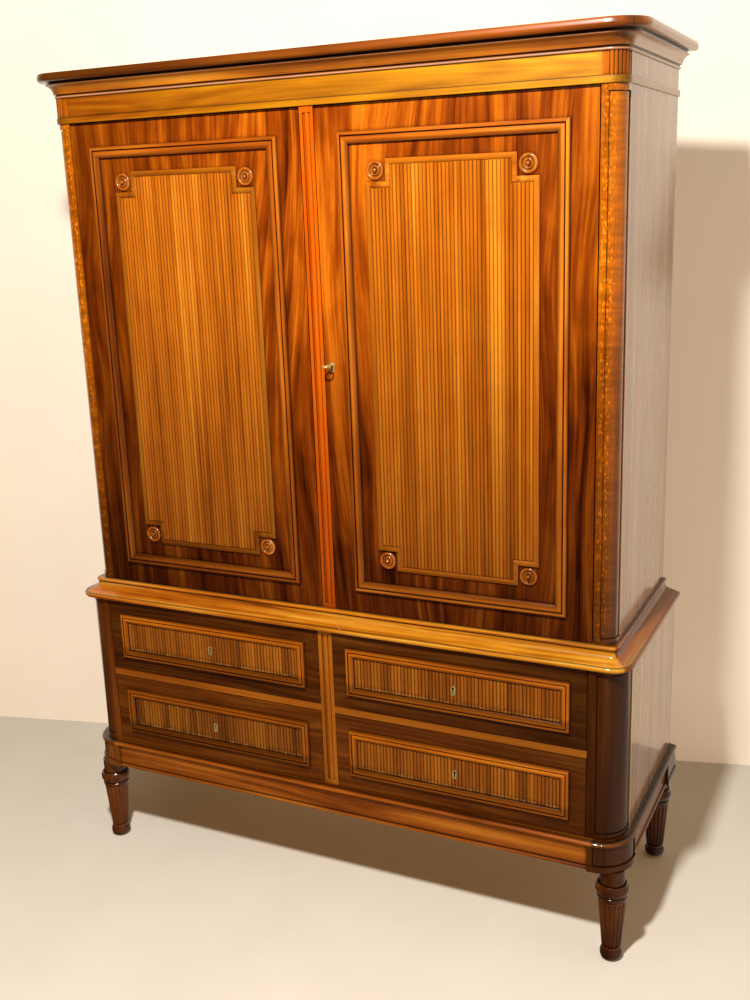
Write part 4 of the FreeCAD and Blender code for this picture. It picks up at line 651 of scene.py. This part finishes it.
dress(mahogany("frieze_mahogany", CASE_RING, FRIEZE_TONES, golden_right, figure=(20.0, 0.8), shift=3.9,
               rings=0.08, mottle=0.08, gloss=0.45, coat=0.8, contrast=1.2, fine=0.2),
      "frieze")
dress(mahogany("cornice_mahogany", CASE_RING, CORNICE_TONES, brown_nose, figure=(22.0, 1.0), shift=4.7,
               reach=0.012, wax_and_shade=0.9, coat=0.8, haze=0.28, contrast=1.3, fine=0.15),
      "cornice")


# Doors
# Each door is a slab faced with upright flame veneer. A mitred moulding and a reeded panel in a bead frame
# are planted on it, with a turned patera in each stepped corner of the panel.

VENEER_TONES = (paint(74, 22, 1), paint(158, 67, 6), paint(228, 118, 18))
MOULDING_TONES = (paint(106, 42, 4), paint(174, 85, 13), paint(226, 130, 34))
REED_TONES = (paint(140, 62, 2), paint(206, 108, 12), paint(242, 148, 36))
PANEL_FRAME_TONES = (paint(128, 58, 4), paint(200, 108, 16), paint(242, 154, 42))
PATERA_TONES = (paint(108, 46, 4), paint(182, 94, 20), paint(230, 146, 58))
PANEL_BEAD, PANEL_NOTCH = 0.012, 0.046
# A painted shadow of the fillet along the doors' tops: the lowest and highest place, and the share of light
# in it.
DOOR_TOP_SHADOW = (1.8675, 1.8835, 0.12)
DOOR_MIDDLE, DOOR_EDGE = 0.05, 0.6
DOOR_MOULDING_WIDTH = 0.025
# Places across a moulding from its outer edge, as shares of its width, and the painted light at each:
# painted highlights on the raised bands, painted shade in the quirk and at the edges
RELIEF_SHADES = ((0.0, 0.4), (0.14, 0.95), (0.28, 1.0), (0.33, 0.2), (0.39, 0.2), (0.45, 0.9), (0.6, 1.0),
                (0.8, 0.6), (1.0, 0.4))
RELIEF_GAIN = 1.35


def ring_of(node, inset=0.0):
    """A frame's grain round the outline of a node."""
    low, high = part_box(node)
    centre, half = (low + high) / 2, (high - low) / 2
    return ("frame", centre.x, centre.z, half.x - inset, half.z - inset)


def field_mask(finish, field, notch=0.0):
    """1 inside a field of reeds, whose corners may be notched, and 0 on the frame round it."""
    apart_x, apart_z = from_middle(finish, field)
    inside = finish.maths("MULTIPLY", finish.maths("LESS_THAN", apart_x, field[3]),
                          finish.maths("LESS_THAN", apart_z, field[4]))
    if not notch:
        return inside
    corner = finish.maths("MULTIPLY", finish.maths("GREATER_THAN", apart_x, field[3] - notch),
                          finish.maths("GREATER_THAN", apart_z, field[4] - notch))
    return finish.maths("MULTIPLY", inside, finish.maths("SUBTRACT", 1.0, corner))


def relief_shading(finish, ring, width, colour):
    """Paints highlights on the raised bands of a frame's moulding, and shade in its quirk and along its
    edges.
    """
    apart_x, apart_z = from_middle(finish, ring)
    beyond_z = finish.maths("SUBTRACT", apart_z, ring[4])
    beyond = finish.maths("MAXIMUM", finish.maths("SUBTRACT", apart_x, ring[3]), beyond_z)
    inward = finish.maths("DIVIDE", beyond, -width)
    shade = finish.ramp(inward, *((place, (share, share, share, 1.0)) for place, share in RELIEF_SHADES))
    return finish.scaled(colour, finish.maths("MULTIPLY", shade, RELIEF_GAIN))


def framed_reeds(name, node, border, notch, frame_tones, reed_tones, shift, tone, wax_and_shade):
    """Upright reeds inside a mitred frame, in one material; a notched frame is a plain bead."""
    finish = Finish(name)
    field = ring_of(node, border)
    rim = Wood(finish, ring_of(node), frame_tones, figure=(22.0, 1.0), shift=shift)
    frame_colour = rim.colour if notch else relief_shading(finish, ring_of(node), border, rim.colour)
    reeds = Wood(finish, "Z", reed_tones, figure=(40.0, 0.5), contrast=1.3, shift=shift + 1.1, wave=0.004)
    colour = finish.mix(field_mask(finish, field, notch), frame_colour, reeds.colour)
    return polish(finish, reeds, tone(finish, field, colour), gloss=0.24, coat=0.7, wax_and_shade=wax_and_shade, reach=0.004)


def darker_edges(finish, colour, at_left, at_right):
    """Darkens a pair of doors or drawers from the middle of the press towards its sides."""
    left = finish.span(finish.axes[0], -DOOR_EDGE, -DOOR_MIDDLE, at_left, 1.0)
    right = finish.span(finish.axes[0], DOOR_MIDDLE, DOOR_EDGE, 1.0, at_right)
    return finish.scaled(colour, finish.maths("MULTIPLY", left, right))


def shaded_veneer(finish, colour):
    """Darkens a door's veneer towards its foot with painted shade, towards its hinged edge, and with a
    painted shadow along its top.
    """
    colour = darker_edges(finish, colour, at_left=0.56, at_right=0.72)
    return lined(finish, shade_below(share=0.32)(finish, colour), *DOOR_TOP_SHADOW)


def shaded_moulding(ring):
    """A change of tone for a door's moulding: painted highlights on its crowns, darker towards its hinged
    edge, and painted shade towards its foot.
    """
    def tone(finish, colour):
        colour = relief_shading(finish, ring, DOOR_MOULDING_WIDTH, colour)
        colour = darker_edges(finish, colour, at_left=0.75, at_right=0.9)
        return shade_below(share=0.55)(finish, colour)
    return tone


def dimmed(tones, share):
    """The same tones with a share of their light."""
    return [(*(level * share for level in tone[:3]), 1.0) for tone in tones]


def shaded_panel(finish, _field, colour):
    """Darkens a door's panel towards its foot, a painted shade."""
    return shade_below(share=0.5)(finish, colour)


for side, shift, frame_share in (("left", 8.3, 0.64), ("right", 9.6, 1.0)):
    ring = ring_of(f"{side}_door_moulding")
    frame_tones = dimmed(PANEL_FRAME_TONES, frame_share)
    veneer = mahogany(f"{side}_door_veneer", "Z", VENEER_TONES, shaded_veneer, figure=(9.0, 0.9),
                      contrast=2.1, mottle=0.12, gloss=0.22, coat=0.2, shift=shift, wave=0.1, fine=0.12)
    moulding = mahogany(f"{side}_door_moulding_mahogany", ring, MOULDING_TONES, shaded_moulding(ring),
                        figure=(26.0, 1.0), contrast=1.4, shift=shift + 0.5, coat=0.7, wax_and_shade=0.85)
    patera = mahogany(f"{side}_patera_mahogany", "Z", PATERA_TONES, figure=(40.0, 3.0), gloss=0.16,
                      coat=1.0, wax_and_shade=0.8, shift=shift + 0.9)
    panel = framed_reeds(f"{side}_door_reed_mahogany", f"{side}_door_panel", PANEL_BEAD, PANEL_NOTCH,
                         frame_tones, REED_TONES, shift + 1.3, shaded_panel, wax_and_shade=0.74)
    dress(veneer, f"{side}_door")
    dress(moulding, f"{side}_door_moulding")
    dress(patera, f"{side}_door_paterae")
    dress(panel, f"{side}_door_panel")


# Brass and steel
# Pivot hinges, keyhole linings, lock cases, keepers, bolts and the key, all old brass worn bright where
# it is handled. The bolts inside the locks are steel. Slotted brass screws hold the lock cases and the
# keepers.

SCREW_RADIUS, SCREW_HEIGHT, SCREW_SLOT = 0.0027, 0.0005, 0.0004
HEAD_STEPS, HEAD_CROWN = 9, 0.93
SLOT_TURN, TURN_ACROSS, TURN_UP = 0.5, 1.3, 2.1
KEEPER_X, KEEPER_HALF, KEEPER_HEIGHT, KEEPER_EDGE = -0.0605, 0.016, 0.066, 0.006


def half_heads(shape, centre, slot_turn):
    """Adds a slotted screw head on a face that looks to the back, as the two halves beside the slot."""
    for half in (0.0, math.pi):
        start = slot_turn + half
        aside = Vector((-math.sin(start), 0, math.cos(start))) * SCREW_SLOT
        arc = [start + math.pi * step / HEAD_STEPS for step in range(HEAD_STEPS + 1)]
        rim = [Vector((math.cos(turn), 0, math.sin(turn))) * SCREW_RADIUS + aside for turn in arc]
        top = Vector(centre) + Vector((0, SCREW_HEIGHT, 0))
        low = [shape.verts.new(Vector(centre) + spot) for spot in rim]
        high = [shape.verts.new(top + spot * HEAD_CROWN) for spot in rim]
        close_between(shape, low, high)


def screws(name, body, low, high, inset_x, inset_z):
    """Four screws in the corners of a plate that looks to the back."""
    shape = bmesh.new()
    for index, x in enumerate((low[0] + inset_x, high[0] - inset_x)):
        for step, z in enumerate((low[2] + inset_z, high[2] - inset_z)):
            half_heads(shape, (x, high[1], z), SLOT_TURN + TURN_ACROSS * index + TURN_UP * step)
    new_piece(name, shape, brass, body)


brass = metal("old_brass", paint(176, 136, 70), paint(236, 208, 140), 0.36, bare=0.45)
steel = metal("lock_steel", paint(120, 118, 114), paint(178, 176, 170), 0.36)
dress(brass, "case_pivots", "left_door_fittings", "right_door_fittings", "door_lock", "door_key",
      "left_door_top_bolt", "left_door_bottom_bolt")
dress(steel, "door_lock_bolt")
screws("door_lock_screws", "right_door", *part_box("door_lock"), inset_x=0.018, inset_z=0.007)
keeper_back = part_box("left_door_fittings")[1].y
door_low, door_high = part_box("left_door")
keeper_levels = {"top": door_high.z - KEEPER_EDGE - KEEPER_HEIGHT, "bottom": door_low.z + KEEPER_EDGE}
for end, low_z in keeper_levels.items():
    low = (KEEPER_X - KEEPER_HALF, 0, low_z)
    high = (KEEPER_X + KEEPER_HALF, keeper_back, low_z + KEEPER_HEIGHT)
    screws(f"{end}_keeper_screws", "left_door", low, high, inset_x=0.005, inset_z=0.007)


# Drawers
# Each drawer has a veneered front with a mitred moulding round a field of reeds, on a plain dovetailed
# box. Dust and old wax darken the lower ends of the reeds, rubbed pale here and there, with painted
# highlights on their rounded ends.

FRONT_TONES = (paint(74, 30, 0), paint(124, 60, 6), paint(160, 88, 16))
TRIM_TONES = (paint(112, 50, 1), paint(178, 92, 8), paint(224, 134, 28))
DRAWER_REED_TONES = (paint(110, 52, 1), paint(166, 88, 8), paint(212, 128, 24))
TRIM_WIDTH = 0.02
WORN_AND_LIT_TONE = paint(202, 134, 60)
FEET_RANGE, FEET_SHARE = (0.003, 0.016), 0.55
# The ends of the reeds take painted highlights; the pale spots low down are wear.
ENDS_FROM, ENDS_TO = (0.002, 0.0035), (0.0065, 0.008)
WEAR_CLOUDS = (90.0, 60.0)
SPOT_WEAR, END_HIGHLIGHT = (0.56, 0.7, 0.0, 0.5), (0.42, 0.6, 0.08, 0.62)
END_GRAIN_SHARE = 0.61
# One drawer's trim and reeds are darker than the others'.
DARKER_DRAWER, DARKER_SHARE = "lower_left_drawer", 0.72
DOVETAIL_COUNT, DOVETAIL_PROUD, TAIL_LENGTH, PIN_LENGTH = 4, 0.0002, 0.015, 0.012
TAIL_WIDE, TAIL_NARROW, PIN_NARROW = 0.34, 0.22, 0.153  # shares of the distance between two dovetails


def dust_wear_and_highlights(finish, field, colour):
    """Darkens the reeds low down, wears the polish off in spots, and paints highlights on their rounded
    ends.
    """
    height = finish.maths("SUBTRACT", finish.axes[2], field[2] - field[4])
    low_down = finish.span(height, *FEET_RANGE, 1.0, 0.0)
    colour = finish.scaled(colour, finish.span(low_down, 0.0, 1.0, 1.0, FEET_SHARE))
    cloud = finish.noise(finish.place, *WEAR_CLOUDS, detail=3.0)
    spots = finish.maths("MULTIPLY", low_down, finish.span(cloud, *SPOT_WEAR))
    above, below = finish.span(height, *ENDS_FROM, 0.0, 1.0), finish.span(height, *ENDS_TO, 1.0, 0.0)
    ends = finish.maths("MULTIPLY", above, below)
    ends = finish.maths("MULTIPLY", ends, finish.span(cloud, *END_HIGHLIGHT))
    worn_and_lit = finish.maths("MULTIPLY", finish.maths("MAXIMUM", spots, ends), field_mask(finish, field))
    return finish.mix(worn_and_lit, colour, WORN_AND_LIT_TONE)


def shaded_front(finish, colour):
    """Darkens the drawers' fronts towards the ends of the base."""
    return darker_edges(finish, colour, at_left=0.85, at_right=0.6)


end_grain = plain_boards("drawer_end_grain", "X", 3.7, tones=dimmed(PALE_TONES, END_GRAIN_SHARE))


def wedge(shape, x, way, y, z, half_wide, half_narrow):
    """Adds a thin dovetail on an upright side face; it narrows from y[0] to y[1]."""
    proud = way * DOVETAIL_PROUD
    plan = ((y[0], z - half_wide), (y[1], z - half_narrow), (y[1], z + half_narrow), (y[0], z + half_wide))
    inner = [shape.verts.new((x - proud, *spot)) for spot in plan]
    outer = [shape.verts.new((x + proud, *spot)) for spot in plan]
    close_between(shape, inner, outer)


def dovetails(name):
    """The tails of a drawer's sides in the ends of its front, and the pins of its back in its sides."""
    tails, pins = bmesh.new(), bmesh.new()
    front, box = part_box(f"{name}_front"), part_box(f"{name}_box")
    pitch = (box[1].z - box[0].z) / DOVETAIL_COUNT
    for end, way in ((0, -1), (1, 1)):
        for number in range(DOVETAIL_COUNT):
            z = box[0].z + pitch * (number + 0.5)
            tail_ends, pin_ends = (front[1].y - TAIL_LENGTH, front[1].y), (box[1].y, box[1].y - PIN_LENGTH)
            wedge(tails, front[end].x, way, tail_ends, z, pitch * TAIL_WIDE, pitch * TAIL_NARROW)
            wedge(pins, box[end].x, way, pin_ends, z, pitch * TAIL_NARROW, pitch * PIN_NARROW)
    new_piece(f"{name}_tails", tails, deep_boards, name)
    new_piece(f"{name}_pins", pins, end_grain, name)


for row, row_shift, front_share in (("lower", 1.1, 0.84), ("upper", 2.9, 0.52)):
    for side, side_shift in (("left", 0.0), ("right", 5.3)):
        name = f"{row}_{side}_drawer"
        shift = row_shift + side_shift
        reed_share = DARKER_SHARE if name == DARKER_DRAWER else 1.0
        frame_tones, reed_tones = dimmed(TRIM_TONES, reed_share), dimmed(DRAWER_REED_TONES, reed_share)
        front = mahogany(f"{name}_veneer", "X", dimmed(FRONT_TONES, front_share), shaded_front,
                         figure=(18.0, 1.4), gloss=0.3, coat=0.15, shift=shift, wave=0.03, rings=0.12,
                         fine=0.15, contrast=1.2)
        trim = framed_reeds(f"{name}_trim_mahogany", f"{name}_trim", TRIM_WIDTH, 0.0, frame_tones,
                            reed_tones, shift + 0.6, dust_wear_and_highlights, wax_and_shade=0.9)
        dress(front, f"{name}_front")
        dress(trim, f"{name}_trim")
        dress(deep_boards, f"{name}_box")
        dress(brass, f"{name}_lock")
        dress(steel, f"{name}_bolt")
        screws(f"{name}_lock_screws", name, *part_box(f"{name}_lock"), inset_x=0.007, inset_z=0.007)
        dovetails(name)


# Room
# A pale stone floor and a pale plastered wall behind, with one soft lamp above and in front of the press.
# The wall shows only from its front, so that the back of the press can be looked at.

FLOOR_COLOUR, FLOOR_GLOW = (0.95, 0.87, 0.75), (0.05, 0.02, 0.0, 1.0)
FLOOR_CORNERS = ((-5, -3.2, 0), (5, -3.2, 0), (5, 6, 0), (-5, 6, 0))
WALL_COLOUR, WALL_GLOW = (0.86, 0.79, 0.67), (0.3, 0.2, 0.13, 1.0)
WALL_FOOT, WALL_WAY = Vector((-1.553, 0.218, 0)), Vector((2.387, 0.581, 0)).normalized()
WALL_LEFT, WALL_RIGHT, WALL_RISE = 6, 8, Vector((0, 0, 5))
MATT_CLOUDS, MATT_RANGE, MATT_SHADES = (3.0, 3.0), (0.35, 0.65), (0.95, 1.0)
MATT_ROUGHNESS, MATT_SHINE = 0.9, 0.1
ROOM_COLOUR, SEEN_BRIGHTNESS = (1.0, 0.835, 0.63, 1.0), 0.9
BRIGHT_WAY = (0.86, 0.51, 0.0)  # towards the brighter side of the room
BRIGHT_RANGE = (-0.5, 0.5, 0.03, 0.42)
LAMP_SIZE, LAMP_POWER, LAMP_COLOUR, LAMP_PLACE = 0.09, 330.0, (1.0, 0.98, 0.94), (0.5, -1.8, 2.8)
FOCAL_PIXELS, FRAME_PIXELS, SENSOR_WIDTH = 1137.66, 1000.0, 36.0
CAMERA_PLACE = (1.22139, -2.4406, 1.68454)


def sheet_of(name, corners, material):
    """A flat backdrop."""
    mesh = bpy.data.meshes.new(name)
    mesh.from_pydata(corners, [], [range(len(corners))])
    mesh.materials.append(material)
    made = bpy.data.objects.new(name, mesh)
    bpy.context.scene.collection.objects.link(made)
    return made


def pale_surface(name, colour, glow, one_sided=False):
    """A pale matt surface that takes a shadow; the glow, seen only by eye and in the polish, lifts it."""
    finish = Finish(name)
    cloud = finish.noise(finish.place, *MATT_CLOUDS, detail=6.0)
    finish.link(finish.scaled(colour, finish.span(cloud, *MATT_RANGE, *MATT_SHADES)), "Base Color")
    finish.shader.inputs["Roughness"].default_value = MATT_ROUGHNESS
    finish.shader.inputs["Specular IOR Level"].default_value = MATT_SHINE
    finish.shader.inputs["Emission Color"].default_value = glow
    ray = finish.node("ShaderNodeLightPath").outputs
    seen = finish.maths("MAXIMUM", ray["Is Camera Ray"], ray["Is Glossy Ray"])
    finish.link(finish.maths("MAXIMUM", seen, ray["Is Transmission Ray"]), "Emission Strength")
    if one_sided:
        behind = finish.node("ShaderNodeNewGeometry").outputs["Backfacing"]
        clear = finish.node("ShaderNodeBsdfTransparent").outputs[0]
        sides = {0: behind, 1: finish.shader.outputs[0], 2: clear}
        either = finish.node("ShaderNodeMixShader", sides).outputs[0]
        finish.tree.links.new(either, finish.tree.nodes["Material Output"].inputs["Surface"])
    return finish.material


floor_stone = pale_surface("floor_stone", FLOOR_COLOUR, FLOOR_GLOW)
wall_plaster = pale_surface("wall_plaster", WALL_COLOUR, WALL_GLOW, one_sided=True)
floor = sheet_of("floor", FLOOR_CORNERS, floor_stone)
floor.visible_glossy = False
wall_start, wall_end = WALL_FOOT - WALL_WAY * WALL_LEFT, WALL_FOOT + WALL_WAY * WALL_RIGHT
wall = sheet_of("wall", (wall_start, wall_end, wall_end + WALL_RISE, wall_start + WALL_RISE), wall_plaster)
wall.visible_diffuse = False
wall.visible_shadow = False

world = bpy.data.worlds.new("studio")
bpy.context.scene.world = world
world.use_nodes = True
links, room = world.node_tree.links, world.node_tree.nodes
way = room.new("ShaderNodeVectorMath")
way.operation = "DOT_PRODUCT"
way.inputs[1].default_value = BRIGHT_WAY
links.new(room.new("ShaderNodeTexCoord").outputs["Generated"], way.inputs[0])
dim_front = room.new("ShaderNodeMapRange")
links.new(way.outputs["Value"], dim_front.inputs[0])
for index, setting in enumerate(BRIGHT_RANGE, start=1):
    dim_front.inputs[index].default_value = setting
straight_view = room.new("ShaderNodeLightPath")
brightness = room.new("ShaderNodeMix")
links.new(straight_view.outputs["Is Camera Ray"], brightness.inputs[0])
links.new(dim_front.outputs[0], brightness.inputs[2])
brightness.inputs[3].default_value = SEEN_BRIGHTNESS
background = room["Background"]
background.inputs["Color"].default_value = ROOM_COLOUR
links.new(brightness.outputs[0], background.inputs["Strength"])

lamp_data = bpy.data.lights.new("lamp", "POINT")
lamp_data.shadow_soft_size = LAMP_SIZE
lamp_data.energy = LAMP_POWER
lamp_data.color = LAMP_COLOUR
lamp = bpy.data.objects.new("lamp", lamp_data)
bpy.context.scene.collection.objects.link(lamp)
lamp.location = LAMP_PLACE
lamp.visible_camera = False

camera_data = bpy.data.cameras.new("camera")
camera = bpy.data.objects.new("camera", camera_data)
bpy.context.scene.collection.objects.link(camera)
bpy.context.scene.camera = camera
camera_data.sensor_width = SENSOR_WIDTH
camera_data.sensor_fit = "AUTO"
camera_data.lens = camera_data.sensor_width * FOCAL_PIXELS / FRAME_PIXELS
azimuth, elevation, roll = math.radians(26.14), math.radians(-14.94), math.radians(-2.08)
forward = Vector((-math.sin(azimuth) * math.cos(elevation), math.cos(azimuth) * math.cos(elevation),
                  math.sin(elevation)))
level_right = Vector((math.cos(azimuth), math.sin(azimuth), 0.0))
level_up = level_right.cross(forward)
right = level_right * math.cos(roll) + level_up * math.sin(roll)
up = level_up * math.cos(roll) - level_right * math.sin(roll)
turn = Matrix((right, up, -forward)).transposed()
camera.matrix_world = Matrix.Translation(CAMERA_PLACE) @ turn.to_4x4()

bpy.context.scene.view_settings.view_transform = "Standard"
